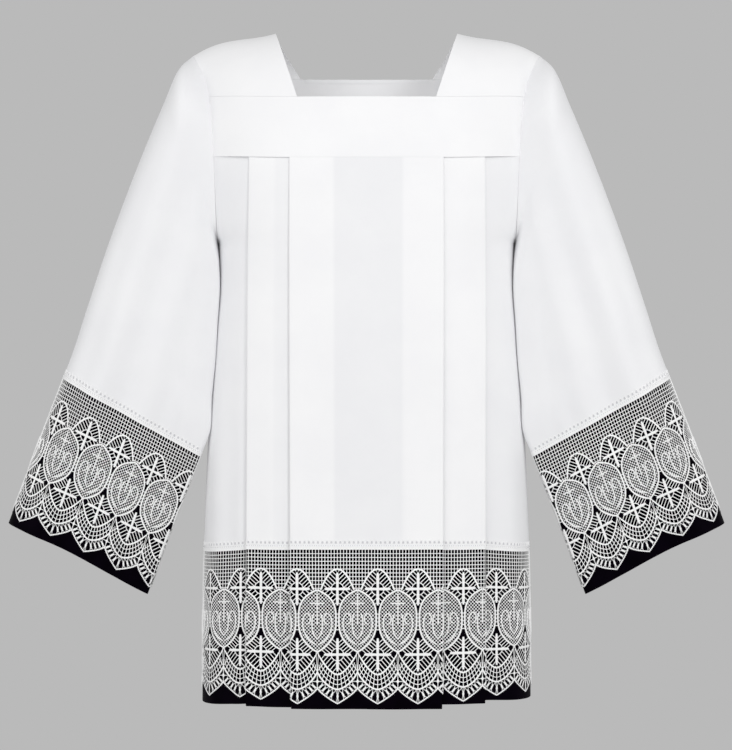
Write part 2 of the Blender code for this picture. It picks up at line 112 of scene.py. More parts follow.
# One row for each pleat: side of the body, place of its fold at the yoke and at the hem
# measured from the middle of the body, and how far the cloth runs back under the fold.
Pleat = namedtuple("Pleat", "side order fold_top fold_hem under")
PLEATS = (
    Pleat("left", "inner", 0.0959, 0.0935, 0.0534),
    Pleat("left", "outer", 0.1468, 0.1504, 0.0367),
    Pleat("right", "inner", 0.0957, 0.0937, 0.0487),
    Pleat("right", "outer", 0.1479, 0.1479, 0.0523),
)
TOP_LEVEL = 4              # the middle panel lies four layers out

# One row for each ring of a sleeve, from armhole to cuff. The section is an egg: a large
# round at the outer edge, a small one at the lower edge, joined by two straight runs.
Ring = namedtuple("Ring", "outer_x outer_y outer_z inner_x inner_y inner_z outer_round inner_round")
SLEEVE_RINGS = (
    Ring(0.2395, -0.002, -0.0335, 0.1891, -0.047, -0.2841, 0.0660, 0.0090),
    Ring(0.2624, -0.005, -0.0856, 0.1877, -0.054, -0.3143, 0.0640, 0.0060),
    Ring(0.2947, -0.010, -0.1644, 0.1905, -0.056, -0.3660, 0.0590, 0.0050),
    Ring(0.3308, -0.015, -0.2618, 0.1933, -0.057, -0.4134, 0.0530, 0.0045),
    Ring(0.3587, -0.020, -0.3460, 0.1980, -0.055, -0.4619, 0.0500, 0.0045),
    Ring(0.3752, -0.020, -0.3964, 0.2001, -0.054, -0.5015, 0.0480, 0.0045),
    Ring(0.3896, -0.020, -0.4339, 0.2130, -0.050, -0.5341, 0.0470, 0.0045),
    Ring(0.4258, -0.020, -0.5269, 0.2466, -0.045, -0.6183, 0.0460, 0.0045),
    Ring(0.4610, -0.020, -0.6199, 0.2804, -0.040, -0.7110, 0.0450, 0.0045),
)
SLEEVE_LACE_RING = 6       # the row of SLEEVE_RINGS where the lace begins
ARMHOLE_STEP_TOP = 0.0002  # room between body and sleeve at the shoulder tip
ARMHOLE_STEP_LOW = 0.0010  # and at the underarm, where both hang straight down

MIRROR = np.array([-1.0, 1.0, 1.0])  # turns the right side's points into the left side's
FLIP = np.array([-1.0, 1.0])         # and flat points across an axis

# ---------------------------------------------------------------- soft folds of the body
BODY_FOLD_RISE = 1.3        # power of the half wave along a fold of the body
SLEEVE_FOLD_RISE = 1.2      # and along a fold of a sleeve

# One row for each soft fold: front or back, where its line starts and ends across and in
# height, how wide it is and how far it stands out (negative for a trough).
Fold = namedtuple("Fold", "face top_x top_z low_x low_z width depth")
BODY_FOLDS = (
    Fold("front", -0.186, -0.20, -0.196, -1.20, 0.009, 0.0016),
    Fold("front", -0.170, -0.24, -0.176, -1.25, 0.008, -0.0013),
    Fold("front", -0.158, -0.40, -0.161, -1.30, 0.007, 0.0010),
    Fold("front", -0.136, -0.36, -0.138, -1.30, 0.012, -0.0010),
    Fold("front", -0.117, -0.30, -0.115, -1.30, 0.013, 0.0012),
    Fold("front", -0.060, -0.40, -0.062, -1.30, 0.020, 0.0010),
    Fold("front", -0.020, -0.34, -0.015, -1.30, 0.024, -0.0010),
    Fold("front", 0.034, -0.42, 0.036, -1.30, 0.022, 0.0012),
    Fold("front", 0.073, -0.30, 0.070, -1.30, 0.016, -0.0009),
    Fold("front", 0.112, -0.36, 0.113, -1.30, 0.014, 0.0011),
    Fold("front", 0.134, -0.42, 0.135, -1.30, 0.010, -0.0008),
    Fold("front", 0.160, -0.22, 0.164, -1.22, 0.010, -0.0012),
    Fold("front", 0.182, -0.26, 0.190, -1.20, 0.010, 0.0016),
    Fold("back", -0.184, -0.22, -0.194, -1.20, 0.010, 0.0016),
    Fold("back", -0.163, -0.28, -0.168, -1.25, 0.009, -0.0013),
    Fold("back", -0.124, -0.34, -0.122, -1.30, 0.015, 0.0011),
    Fold("back", -0.052, -0.30, -0.050, -1.30, 0.022, 0.0012),
    Fold("back", 0.008, -0.36, 0.012, -1.30, 0.025, -0.0011),
    Fold("back", 0.064, -0.40, 0.061, -1.30, 0.019, 0.0011),
    Fold("back", 0.121, -0.30, 0.124, -1.30, 0.014, 0.0010),
    Fold("back", 0.166, -0.26, 0.170, -1.25, 0.010, -0.0013),
    Fold("back", 0.187, -0.22, 0.194, -1.20, 0.009, 0.0015),
)

# ---------------------------------------------------------------- soft folds of a sleeve
# One row for each soft fold: its share of the way round at the armhole and at the cuff (0 and
# 1 at the lower edge, half at the outer edge, front past half), the share of the sleeve's
# length where it starts and ends, its width as a share of the way round, and its depth.
SleeveFold = namedtuple("SleeveFold", "round_top round_low start end width depth")
SLEEVE_FOLDS = (
    SleeveFold(0.860, 0.800, 0.00, 0.95, 0.030, 0.0035),
    SleeveFold(0.790, 0.730, 0.05, 1.10, 0.028, -0.0028),
    SleeveFold(0.730, 0.655, 0.02, 1.20, 0.030, 0.0034),
    SleeveFold(0.660, 0.600, 0.10, 1.20, 0.026, -0.0024),
    SleeveFold(0.905, 0.900, 0.20, 1.30, 0.022, -0.0020),
    SleeveFold(0.880, 0.905, 0.52, 0.80, 0.020, 0.0030),
    SleeveFold(0.140, 0.190, 0.00, 0.95, 0.030, 0.0034),
    SleeveFold(0.220, 0.270, 0.05, 1.10, 0.028, -0.0028),
    SleeveFold(0.280, 0.350, 0.02, 1.20, 0.030, 0.0033),
    SleeveFold(0.350, 0.400, 0.10, 1.20, 0.026, -0.0024),
)

# ---------------------------------------------------------------- how finely the sheets are cut
SIDE_STEPS = 32           # from the outer fold to the side
HIDDEN_STEPS = 4          # on a run of cloth under a fold
PANEL_STEPS = 18          # on the panel between the folds
MIDDLE_STEPS = 22         # from the middle to the inner fold
TURN_STEPS = 8            # round one fold
CLOTH_ROWS = 64
BAND_ROWS = 24            # down a band of lace
TAPE_ROWS = 6             # down the header
SLEEVE_ROWS = 64          # from armhole to header
SLEEVE_STEPS = 97         # round a sleeve
SLEEVE_EDGE = 0.06        # but for this share beside its lower edge
SLEEVE_EDGE_STEPS = 13    # which has these steps on either side
YOKE_ROWS = 36
FACING_ROWS = 2
YOKE_STEPS = 64
STRAP_ROWS = 56
STRAP_STEPS = 34
FINE_STEPS = 180          # of an outline before it is shared out evenly

Sheet = namedtuple("Sheet", "points normals along down across level")


def pair(first, second):
    """Flat points from their two coordinates, either of which may be one number."""
    return np.stack(np.broadcast_arrays(first, second), axis=-1)


def smooth_at(at, places, values):
    """Smooth curve through a table: on each interval the cubic that meets both end values
    with the slopes of the neighbouring differences (Hermite's form)."""
    places = np.asarray(places, float)
    values = np.asarray(values, float)
    slopes = np.gradient(values, places, axis=0)
    at = np.clip(at, places[0], places[-1])
    low = np.clip(np.searchsorted(places, at) - 1, 0, len(places) - 2)
    gap = places[low + 1] - places[low]
    t = (at - places[low]) / gap
    if values.ndim > 1:
        gap = gap.reshape(gap.shape + (1,) * (values.ndim - 1))
        t = t.reshape(t.shape + (1,) * (values.ndim - 1))
    start = (2 * t ** 3 - 3 * t ** 2 + 1) * values[low]
    end = (3 * t ** 2 - 2 * t ** 3) * values[low + 1]
    leave = (t ** 3 - 2 * t ** 2 + t) * gap * slopes[low]
    arrive = (t ** 3 - t ** 2) * gap * slopes[low + 1]
    return start + end + leave + arrive


def section_value(column, height):
    """A column of SECTIONS at any height, by the smooth curve through its rows."""
    heights = [row.height for row in SECTIONS]
    return smooth_at(height, heights, [getattr(row, column) for row in SECTIONS])


def armhole_half_width(height):
    """Distance of the armhole from the middle of the body: a lean plus a steep last curve."""
    share = np.clip((height - UNDERARM_HEIGHT) / (SHOULDER_TIP_HEIGHT - UNDERARM_HEIGHT), 0.0, 1.0)
    last = SHOULDER_TIP_HALF - UNDERARM_HALF - ARMHOLE_LEAN
    return UNDERARM_HALF + ARMHOLE_LEAN * share + last * share ** SHOULDER_TURN


def armhole_half_depth(height):
    """Half depth of the armhole at a height: (1 - share^power)^(1/power), an ellipse in the
    upper half and fuller in the lower half."""
    share = np.clip((height - ARMHOLE_MIDDLE) / ARMHOLE_REACH, -1.0, 1.0)
    power = np.where(share > 0.0, 2.0, ARMHOLE_LOW_POWER)
    return ARMHOLE_HALF_DEPTH * (1.0 - np.abs(share) ** power) ** (1.0 / power)


def side_point(height):
    """Where a section ends: on the armhole above the underarm, at the side seam below it."""
    above = height > UNDERARM_HEIGHT
    across = np.where(above, armhole_half_width(height), section_value("half_width", height))
    depth = np.where(above, armhole_half_depth(height), 0.0)
    return across, depth


def body_relief(across, height, face):
    """Sum of the body's soft folds: depth * exp(-(distance from the fold's line / width)^2),
    times a power of a half wave along the line."""
    total = 0.0 * across * height
    for fold in (row for row in BODY_FOLDS if row.face == ("front" if face < 0 else "back")):
        share = np.clip((height - fold.top_z) / (fold.low_z - fold.top_z), 0.0, 1.0)
        line = fold.top_x + (fold.low_x - fold.top_x) * share
        bell = np.exp(-((across - line) / fold.width) ** 2)
        total = total + fold.depth * bell * np.sin(np.pi * share) ** BODY_FOLD_RISE
    return total


def section_reach(height, face):
    """Half width a and depth b of the body's superellipse |x/a|^p + |y/b|^p = 1 at a height,
    with a such that the curve passes through the side point."""
    depth = section_value("front_depth" if face < 0 else "back_depth", height)
    side, side_depth = side_point(height)
    return side / (1.0 - (side_depth / depth) ** SECTION_POWER) ** (1.0 / SECTION_POWER), depth


def body_point(across, level, height, face):
    """A point of the body: on the superellipse of its height, then moved out along its
    normal by level times the pleat pitch and by the soft folds."""
    width, depth = section_reach(height, face)
    power = SECTION_POWER
    ratio = np.clip(np.abs(across) / width, 0.0, 1.0)
    along = depth * (1.0 - ratio ** power) ** (1.0 / power)
    normal_x = np.sign(across) * ratio ** (power - 1.0) / width
    normal_y = (along / depth) ** (power - 1.0) / depth
    size = np.hypot(normal_x, normal_y)
    out = level * section_value("pleat_pitch", height) + body_relief(across, height, face)
    x = across + out * normal_x / size
    y = along + out * normal_y / size
    return np.stack([x, face * y, height + 0.0 * x], axis=-1)


def side_run(start, height, face, steps):
    """Distances from the middle between start and the side: equal steps of the
    superellipse's own angle, so closer together where the section turns."""
    width = section_reach(height, face)[0]
    first = np.arccos((start / width) ** (SECTION_POWER / 2.0))
    last = np.arccos(np.clip(side_point(height)[0] / width, 0.0, 1.0) ** (SECTION_POWER / 2.0))
    share = np.linspace(0.0, 1.0, steps + 1)
    angle = first[..., None] + (last - first)[..., None] * share
    return width[..., None] * np.cos(angle) ** (2.0 / SECTION_POWER)


def pleat_row(side, order):
    """The row of PLEATS for one fold."""
    return next(row for row in PLEATS if row.side == side and row.order == order)


def fold_place(pleat, height):
    """Distance of a fold from the middle at a height, straight from the yoke to the hem."""
    share = (height - YOKE_SEAM_FRONT) / (HEMS[-1].middle - YOKE_SEAM_FRONT)
    return pleat.fold_top + (pleat.fold_hem - pleat.fold_top) * share


def half_path(side, heights, face):
    """Cloth path from the middle of the body to one side, as distance and level for each
    height: the middle panel, under its fold and back, the next panel, under and back, and
    the run to the side. Each turn is half a circle as wide as the pleat pitch."""
    radius = 0.5 * section_value("pleat_pitch", heights)
    places, levels = [], []

    def run(start, end, level, steps):
        share = np.linspace(0.0, 1.0, steps + 1)[:-1]
        places.append(start[:, None] + (end - start)[:, None] * share)
        levels.append(np.full(share.shape, float(level)) + 0.0 * start[:, None])

    def turn(edge, level, way):
        angle = np.linspace(0.0, np.pi, TURN_STEPS + 1)[:-1]
        centre = edge - way * radius
        places.append(centre[:, None] + way * radius[:, None] * np.sin(angle))
        levels.append(level - 0.5 + 0.5 * np.cos(angle) + 0.0 * edge[:, None])

    start = 0.0 * radius
    for order, level, steps in (("inner", TOP_LEVEL, MIDDLE_STEPS), ("outer", TOP_LEVEL - 2, PANEL_STEPS)):
        pleat = pleat_row(side, order)
        fold = fold_place(pleat, heights)
        under = fold - pleat.under
        run(start, fold - radius, level, steps)
        turn(fold, level, 1.0)
        run(fold - radius, under + radius, level - 1, HIDDEN_STEPS)
        turn(under, level - 1, -1.0)
        run(under + radius, fold - radius, level - 2, HIDDEN_STEPS)
        start = fold - radius
    places.append(side_run(start, heights, face, SIDE_STEPS))
    levels.append(0.0 * places[-1])
    return np.concatenate(places, axis=1), np.concatenate(levels, axis=1)


def side_ease(share):
    """0 over the middle of the body, growing as a square to 1 at the sides."""
    return np.clip((np.abs(share) - FLAT_SHARE) / (1.0 - FLAT_SHARE), 0.0, 1.0) ** 2


def hem_height(piece, side, share, level):
    """Height of a lower edge: straight lines between its layers, then to the side seam."""
    row = next(hem for hem in HEMS if (hem.piece, hem.side) == (piece, side))
    by_level = np.interp(level, [0.0, TOP_LEVEL / 2, TOP_LEVEL], [row.fold, row.panel, row.middle])
    to_seam = np.clip((share - SIDE_SHARE) / (1.0 - SIDE_SHARE), 0.0, 1.0) * (level == 0)
    return by_level + (row.seam - row.fold) * to_seam


def grid_normals(grid, closed, outward):
    """Unit normals of a grid from the differences along its two directions."""
    down = np.gradient(grid, axis=0)
    if closed:
        along = np.roll(grid, -1, axis=1) - np.roll(grid, 1, axis=1)
    else:
        along = np.gradient(grid, axis=1)
    normal = np.cross(along, down) * outward
    return normal / np.maximum(np.linalg.norm(normal, axis=-1, keepdims=True), 1e-12)


def running_length(points):
    """Distance walked along a row of points, from its first."""
    steps = np.linalg.norm(np.diff(points, axis=0), axis=1)
    return np.concatenate([[0.0], np.cumsum(steps)])


def pleated_sheet(top, bottom, rows, face, above=0.0, below=0.0):
    """Pleated panel: rows run down from the top edge raised by above to the bottom edge
    lowered by below, columns follow the cloth from the left side through every pleat to
    the right. An edge is the name of a row of HEMS or a yoke seam's height."""
    shares = np.linspace(0.0, 1.0, rows + 1)
    at_seam = isinstance(top, float)
    first = top if at_seam else next(row.middle for row in HEMS if row.piece == top)
    last = next(row.middle for row in HEMS if row.piece == bottom)
    guide = first + above + (last - below - first - above) * shares
    halves = []
    for side, sign in (("left", -1.0), ("right", 1.0)):
        across, level = half_path(side, guide, face)
        ends = side_point(guide)[0]
        share = across / ends[:, None]
        if at_seam:
            high = top + YOKE_SIDE_RISE * side_ease(share)
        else:
            high = hem_height(top, side, share, level) - SEAM_GAP + above
        low = hem_height(bottom, side, share, level) - below
        height = high + (low - high) * shares[:, None]
        scale = side_point(height)[0] / ends[:, None]
        eased = np.clip((share - EASE_SHARE) / (1.0 - EASE_SHARE), 0.0, 1.0)
        placed = across * (1.0 + (scale - 1.0) * eased)
        points = body_point(sign * placed, level, height, face)
        points[..., 1] += face * 0.5 * SEAM_GAP
        halves.append((points, sign * placed, level))
    points, across, level = (np.concatenate([left[:, ::-1], right[:, 1:]], axis=1)
                             for left, right in zip(*halves))
    walked = running_length(points[rows // 2])
    along = walked - walked[halves[0][0].shape[1] - 1]
    down = np.linspace(-above, guide[0] - guide[-1] - above, rows + 1)
    normals = grid_normals(points, False, face)
    return Sheet(points, normals, along, down, across, level)


def yoke_level(across, height):
    """The yoke covers the whole stack of pleats and comes down to one layer at the armholes."""
    share = np.abs(across) / side_point(height)[0]
    return TOP_LEVEL * (1.0 - share ** YOKE_ROUNDING)


def yoke_sheet(top, bottom, face):
    """Yoke band, from the left armhole to the right one."""
    heights = np.linspace(top, bottom, YOKE_ROWS + 1)
    half = side_run(0.0 * heights, heights, face, YOKE_STEPS)
    across = np.concatenate([-half[:, ::-1], half[:, 1:]], axis=1)
    share = across / side_point(heights)[0][:, None]
    height = heights[:, None] + YOKE_SIDE_RISE * side_ease(share)
    placed = share * side_point(height)[0]
    points = body_point(placed, yoke_level(placed, height), height, face)
    along = running_length(points[YOKE_ROWS // 2])
    normals = grid_normals(points, False, face)
    return Sheet(points, normals, along - along[-1] / 2, top - heights, placed, 0.0 * placed)


def yoke_edge(start, height, face, steps):
    """Points of a yoke's upper edge from the neck corner to the armhole, right side."""
    end = side_point(np.array(height + YOKE_SIDE_RISE))[0]
    run = start + (end - start) * np.linspace(0.0, 1.0, steps + 1)
    heights = height + YOKE_SIDE_RISE * side_ease(run / end)
    return body_point(run, yoke_level(run, heights), heights, face)


def strap_sheet():
    """Right shoulder strap, from the front yoke over the ridge to the back yoke. A Coons
    patch between its four edges, with the ridge's own rise added where it crosses the top."""
    turn = np.linspace(-1.0, 1.0, STRAP_ROWS + 1)
    share = np.linspace(0.0, 1.0, STRAP_STEPS + 1)
    front = yoke_edge(NECK_FRONT_HALF, YOKE_TOP_FRONT + STRAP_GAP, -1, STRAP_STEPS)
    back = yoke_edge(NECK_BACK_HALF, YOKE_TOP_BACK + STRAP_GAP, 1, STRAP_STEPS)
    angle = turn * np.pi / 2.0
    low = np.where(turn[:, None] < 0, front[0], back[0])
    neck = np.empty((STRAP_ROWS + 1, 3))
    neck[:, 0] = low[:, 0] + (NECK_RIDGE_HALF - low[:, 0]) * np.cos(angle)
    neck[:, 1] = np.abs(low[:, 1]) * np.sin(angle)
    neck[:, 2] = low[:, 2] + (NECK_RIDGE_HEIGHT - low[:, 2]) * np.cos(angle)
    last = np.where(turn[:, None] < 0, front[-1], back[-1])
    full_swing = np.arccos((last[:, 2] - ARMHOLE_MIDDLE) / ARMHOLE_REACH)
    swing = np.abs(turn) * full_swing
    tip = np.empty((STRAP_ROWS + 1, 3))
    tip[:, 2] = ARMHOLE_MIDDLE + ARMHOLE_REACH * np.cos(swing)
    tip[:, 0] = armhole_half_width(tip[:, 2])
    tip[:, 1] = last[:, 1] * np.sin(swing) / np.sin(full_swing)
    along = ((turn + 1.0) / 2.0)[:, None, None]
    side = share[None, :, None]
    ruled = (1 - side) * neck[:, None] + side * tip[:, None]
    lofted = (1 - along) * front[None] + along * back[None]
    corners = ((1 - along) * ((1 - side) * front[0] + side * front[-1])
               + along * ((1 - side) * back[0] + side * back[-1]))
    grid = ruled + lofted - corners
    rise = np.sin(np.pi * share) * (RIDGE_RISE * share - RIDGE_DIP)
    level_gap = ruled[STRAP_ROWS // 2, :, 2] - grid[STRAP_ROWS // 2, :, 2]
    weight = np.cos(angle) ** 2
    grid[..., 2] += weight[:, None] * (rise + level_gap)[None, :]
    across = running_length(grid[STRAP_ROWS // 2])
    around = running_length(grid[:, 0])
    return Sheet(grid, grid_normals(grid, False, 1), across, around, None, None)


def egg_outline(length, large, small):
    """Half an egg from its large end to its small end, very finely: an arc of the large
    radius, a straight tangent, an arc of the small radius. Gives distance along the axis,
    half width and share of the half perimeter."""
    lean = np.arcsin((large - small) / (length - large - small))
    first = np.linspace(0.0, np.pi / 2 + lean, 60)
    last = np.linspace(np.pi / 2 + lean, np.pi, 40)
    along = np.concatenate([large - large * np.cos(first), length - small - small * np.cos(last)])
    half = np.concatenate([large * np.sin(first), small * np.sin(last)])
    run = running_length(pair(along, half))
    return along, half, run / run[-1]


def sleeve_ring(ring, shares):
    """Closed ring of the right sleeve at shares of the way round: the back from the lower
    edge to the outer edge, then the front back to the lower edge."""
    outer = np.array([ring.outer_x, ring.outer_y, ring.outer_z])
    inner = np.array([ring.inner_x, ring.inner_y, ring.inner_z])
    length = np.linalg.norm(inner - outer)
    axis = (inner - outer) / length
    across = np.array([0.0, 1.0, 0.0]) - axis * axis[1]
    across /= np.linalg.norm(across)
    along, half, run = egg_outline(length, ring.outer_round, ring.inner_round)
    from_outer = np.abs(2.0 * shares - 1.0)
    reach = np.interp(from_outer, run, along)
    side = np.interp(from_outer, run, half) * np.where(shares < 0.5, 1.0, -1.0)
    return outer + reach[:, None] * axis + side[:, None] * across


def armhole_ring(shares):
    """Closed ring on the right armhole, stepped out from the body by the seam's room, at
    the same shares of the way round as the sleeve's other rings."""
    fine = np.linspace(0.0, np.pi, FINE_STEPS + 1)
    tall = ARMHOLE_REACH * np.cos(fine)
    walked = running_length(pair(armhole_half_depth(ARMHOLE_MIDDLE + tall), tall))
    angle = np.interp(np.abs(2.0 * shares - 1.0), walked / walked[-1], fine)
    height = ARMHOLE_MIDDLE + ARMHOLE_REACH * np.cos(angle)
    rise = 0.5 * (1.0 + np.cos(angle))
    step = ARMHOLE_STEP_LOW + (ARMHOLE_STEP_TOP - ARMHOLE_STEP_LOW) * rise
    y = armhole_half_depth(height) * np.where(shares < 0.5, 1.0, -1.0)
    return np.stack([armhole_half_width(height) + step, y, height], axis=-1)


def sleeve_shares():
    """Shares of the way round a sleeve, closest together at the lower edge."""
    near, far = SLEEVE_EDGE, 1.0 - SLEEVE_EDGE
    return np.concatenate([np.linspace(0.0, near, SLEEVE_EDGE_STEPS + 1)[:-1],
                           np.linspace(near, far, SLEEVE_STEPS + 1)[:-1],
                           np.linspace(far, 1.0, SLEEVE_EDGE_STEPS + 1)])


def sleeve_sheet():
    """The whole right sleeve: rings joined by the smooth curve through them, with its soft
    folds. Its last column repeats its first, at the lower edge. The flat coordinate along
    is 0 at the outer edge and down is 0 where the lace begins."""
    shares = sleeve_shares()
    rings = np.stack([armhole_ring(shares)] + [sleeve_ring(row, shares) for row in SLEEVE_RINGS])
    step = np.linalg.norm(np.diff(rings, axis=0), axis=-1).mean(axis=1)
    places = np.concatenate([[0.0], np.cumsum(step)])
    lace_place = places[SLEEVE_LACE_RING + 1]
    lace_end = places[-1] - LINING_PAST_LACE
    tape_place = lace_place - TAPE_ABOVE
    rows = np.concatenate([
        np.linspace(0.0, tape_place, SLEEVE_ROWS + 1)[:-1],
        np.linspace(tape_place, lace_place, TAPE_ROWS + 1)[:-1],
        np.linspace(lace_place, lace_end, BAND_ROWS + 1),
        places[-1:],
    ])
    points = smooth_at(rows, places, rings)
    points[:, -1] = points[:, 0]
    share_down = rows / places[-1]
    relief = 0.0 * points[..., 0]
    for fold in SLEEVE_FOLDS:
        part = np.clip((share_down - fold.start) / (fold.end - fold.start), 0.0, 1.0)[:, None]
        line = fold.round_top + (fold.round_low - fold.round_top) * share_down[:, None]
        bell = np.exp(-((shares[None] - line) / fold.width) ** 2)
        relief = relief + fold.depth * bell * np.sin(np.pi * part) ** SLEEVE_FOLD_RISE
    normals = closed_normals(points)
    points = points + normals * relief[..., None]
    run = points[-1] - points[-2 - BAND_ROWS]
    run /= np.linalg.norm(run, axis=-1, keepdims=True)
    past_lace = np.clip((rows - lace_place) / (places[-1] - lace_place), 0.0, 1.0)
    lift = CUFF_LIFT * np.sin(2.0 * np.pi * shares) ** 2 * (1.0 - np.abs(shares - 0.5))
    points = points - run[None] * (past_lace[:, None] * lift)[..., None]
    normals = closed_normals(points)
    middle = len(rows) - 1 - BAND_ROWS // 2
    along = running_length(points[middle])
    outer = np.interp(0.5, shares, along)
    return Sheet(points, normals, along - outer, rows - lace_place, None, None)


def closed_normals(points):
    """Outward unit normals of a ring grid whose last column repeats its first."""
    normals = grid_normals(points[:, :-1], True, 1)
    return np.concatenate([normals, normals[:, :1]], axis=1)


def sheet_part(sheet, first, last):
    """Rows first to last of a sheet."""
    return sheet._replace(points=sheet.points[first:last + 1], normals=sheet.normals[first:last + 1],
                          down=sheet.down[first:last + 1])


def mirrored(sheet, flip):
    """A sheet of the right side, turned into the left side's where flip is MIRROR."""
    return sheet._replace(points=sheet.points * flip, normals=sheet.normals * flip)


def width_of(sheet):
    """Flat width of a sheet."""
    return sheet.along[-1] - sheet.along[0]


def on_sheet(sheet, along, down, out):
    """Points of a sheet at flat coordinates, moved out along its normals: straight-line
    mixing between the four grid points around each place."""
    rows, columns = sheet.points.shape[:2]
    column = np.interp(along, sheet.along, np.arange(columns))
    row = np.interp(down, sheet.down, np.arange(rows))
    c = np.minimum(column.astype(int), columns - 2)
    r = np.minimum(row.astype(int), rows - 2)
    s = (column - c)[:, None]
    t = (row - r)[:, None]

    def mixed(grid):
        high = grid[r, c] * (1 - s) + grid[r, c + 1] * s
        low = grid[r + 1, c] * (1 - s) + grid[r + 1, c + 1] * s
        return high * (1 - t) + low * t

    normal = mixed(sheet.normals)
    normal /= np.maximum(np.linalg.norm(normal, axis=1, keepdims=True), 1e-12)
    return mixed(sheet.points) + normal * out[:, None]


# ---------------------------------------------------------------- meshes
def add_mesh(name, vertices, faces, material, sharp):
    """One named object at the origin that rides on the body, smooth but for the edges that
    bend more than sharp."""
    mesh = bpy.data.meshes.new(name)
    mesh.from_pydata(vertices.tolist(), [], faces.tolist())
    mesh.shade_smooth()
    mesh.set_sharp_from_angle(angle=sharp)
    mesh.materials.append(material)
    piece = bpy.data.objects.new(name, mesh)
    bpy.context.scene.collection.objects.link(piece)
    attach(piece, "root")
    return piece


def add_wall(name, sheet, material, offset=0.0, wall=WALL, closed=False, outward=1, backing_shade=None):
    """Closed wall on a sheet: a skin half a wall outside, a skin half a wall inside and rims
    round its edges. outward is -1 where the columns run the other way round."""
    points, normal = sheet.points, sheet.normals
    if closed:
        points, normal = points[:, :-1], normal[:, :-1]
    outer = points + normal * (offset + 0.5 * wall)
    inner = points + normal * (offset - 0.5 * wall)
    rows, columns = points.shape[:2]
    count = rows * columns
    index = np.arange(count).reshape(rows, columns)
    if closed:
        index = np.concatenate([index, index[:, :1]], axis=1)
    a, b = index[:-1, :-1].ravel(), index[:-1, 1:].ravel()
    c, d = index[1:, 1:].ravel(), index[1:, :-1].ravel()
    skin = np.stack([a, b, c, d], axis=1)
    edges = [index[0], index[-1][::-1]]
    if not closed:
        edges += [index[::-1, 0], index[:, -1]]
    rims = [np.stack([edge[1:], edge[:-1], edge[:-1] + count, edge[1:] + count], axis=1)
            for edge in edges]
    quads = np.concatenate([skin, skin[:, ::-1] + count] + rims)
    if outward < 0:
        quads = quads[:, ::-1]
    vertices = np.concatenate([outer.reshape(-1, 3), inner.reshape(-1, 3)])
    piece = add_mesh(name, vertices, quads, material, SHARP_ANGLE)
    # mask of the cloth's painted shade, read by its material's colour: darker for one layer, lighter over
    # layers behind
    if backing_shade is not None:
        layer = piece.data.attributes.new("backing_shade", "FLOAT", "POINT")
        layer.data.foreach_set("value", np.tile(backing_shade.ravel(), 2).astype(np.float32))
    return piece


# ---------------------------------------------------------------- threads, laid out flat
Strand = namedtuple("Strand", "paths width rise")
Threads = namedtuple("Threads", "places faces owners")


def finer(values, parts):
    """Rows of values with every step divided into equal parts."""
    at = np.linspace(0.0, values.shape[1] - 1.0, parts * (values.shape[1] - 1) + 1)
    low = np.minimum(at.astype(int), values.shape[1] - 2)
    share = (at - low).reshape((-1,) + (1,) * (values.ndim - 2))
    return values[:, low] * (1.0 - share) + values[:, low + 1] * share


def threads(paths, width, rise, spacing=None):
    """Threads along many flat paths at once, paths of shape (threads, points, 2). A section
    has three points: the path moved half a width to either side, on the ground, and the path
    itself raised; two sides, the ground and both ends are closed. Steps longer than the
    spacing are divided."""
    paths = np.asarray(paths, float)
    width = np.broadcast_to(np.asarray(width, float), paths.shape[:2])
    if spacing is not None:
        longest = np.linalg.norm(np.diff(paths, axis=1), axis=-1).max()
        parts = int(np.ceil(longest / spacing))
        paths, width = finer(paths, parts), finer(width, parts)
    way = np.gradient(paths, axis=1)
    way = way / np.maximum(np.linalg.norm(way, axis=-1, keepdims=True), 1e-12)
    side = np.stack([-way[..., 1], way[..., 0]], axis=-1) * (0.5 * width)[..., None]
    ground = np.zeros(paths.shape[:2] + (1,))
    top = ground + rise
    section = np.stack([np.concatenate([paths - side, ground], axis=-1),
                        np.concatenate([paths, top], axis=-1),
                        np.concatenate([paths + side, ground], axis=-1)], axis=2)
    index = np.arange(section[..., 0].size).reshape(section.shape[:3])
    faces = []
    for j, k in ((0, 1), (1, 2), (2, 0)):
        a, b = index[:, :-1, j].ravel(), index[:, :-1, k].ravel()
        c, d = index[:, 1:, k].ravel(), index[:, 1:, j].ravel()
        faces += [np.stack([a, b, c], axis=1), np.stack([a, c, d], axis=1)]
    faces += [index[:, 0, ::-1], index[:, -1]]
    owners = np.repeat(np.arange(len(paths)), 3 * paths.shape[1])
    return Threads(section.reshape(-1, 3), np.concatenate(faces), owners)


def studs(centres, radius, rise):
    """Small four-cornered studs: corners on the ground, one raised point in the middle."""
    centres = np.asarray(centres, float)
    corners = np.array([[1.0, 0.0], [0.0, 1.0], [-1.0, 0.0], [0.0, -1.0]]) * radius
    ring = centres[:, None] + corners
    ground = np.concatenate([ring, np.zeros(ring.shape[:2] + (1,))], axis=-1)
    top = np.concatenate([centres, np.full((len(centres), 1), rise)], axis=-1)[:, None]
    places = np.concatenate([ground, top], axis=1)
    first = (5 * np.arange(len(centres)))[:, None]
    sides = [first + np.array([[i, 4, (i + 1) % 4]]) for i in range(4)]
    floor = [first + np.array([[0, 1, 2]]), first + np.array([[0, 2, 3]])]
    owners = np.repeat(np.arange(len(centres)), 5)
    return Threads(places.reshape(-1, 3), np.concatenate(sides + floor), owners)


def joined(groups):
    """Several groups of threads as one."""
    counts = np.cumsum([0] + [len(group.places) for group in groups])
    faces = [group.faces + start for group, start in zip(groups, counts)]
    numbers = np.cumsum([0] + [group.owners.max() + 1 for group in groups])
    owners = [group.owners + start for group, start in zip(groups, numbers)]
    return Threads(np.concatenate([group.places for group in groups]), np.concatenate(faces),
                   np.concatenate(owners))


def moved(group, along, up=0.0):
    """A group of threads moved along the band and up from the ground."""
    return group._replace(places=group.places + np.array([along, 0.0, up]))


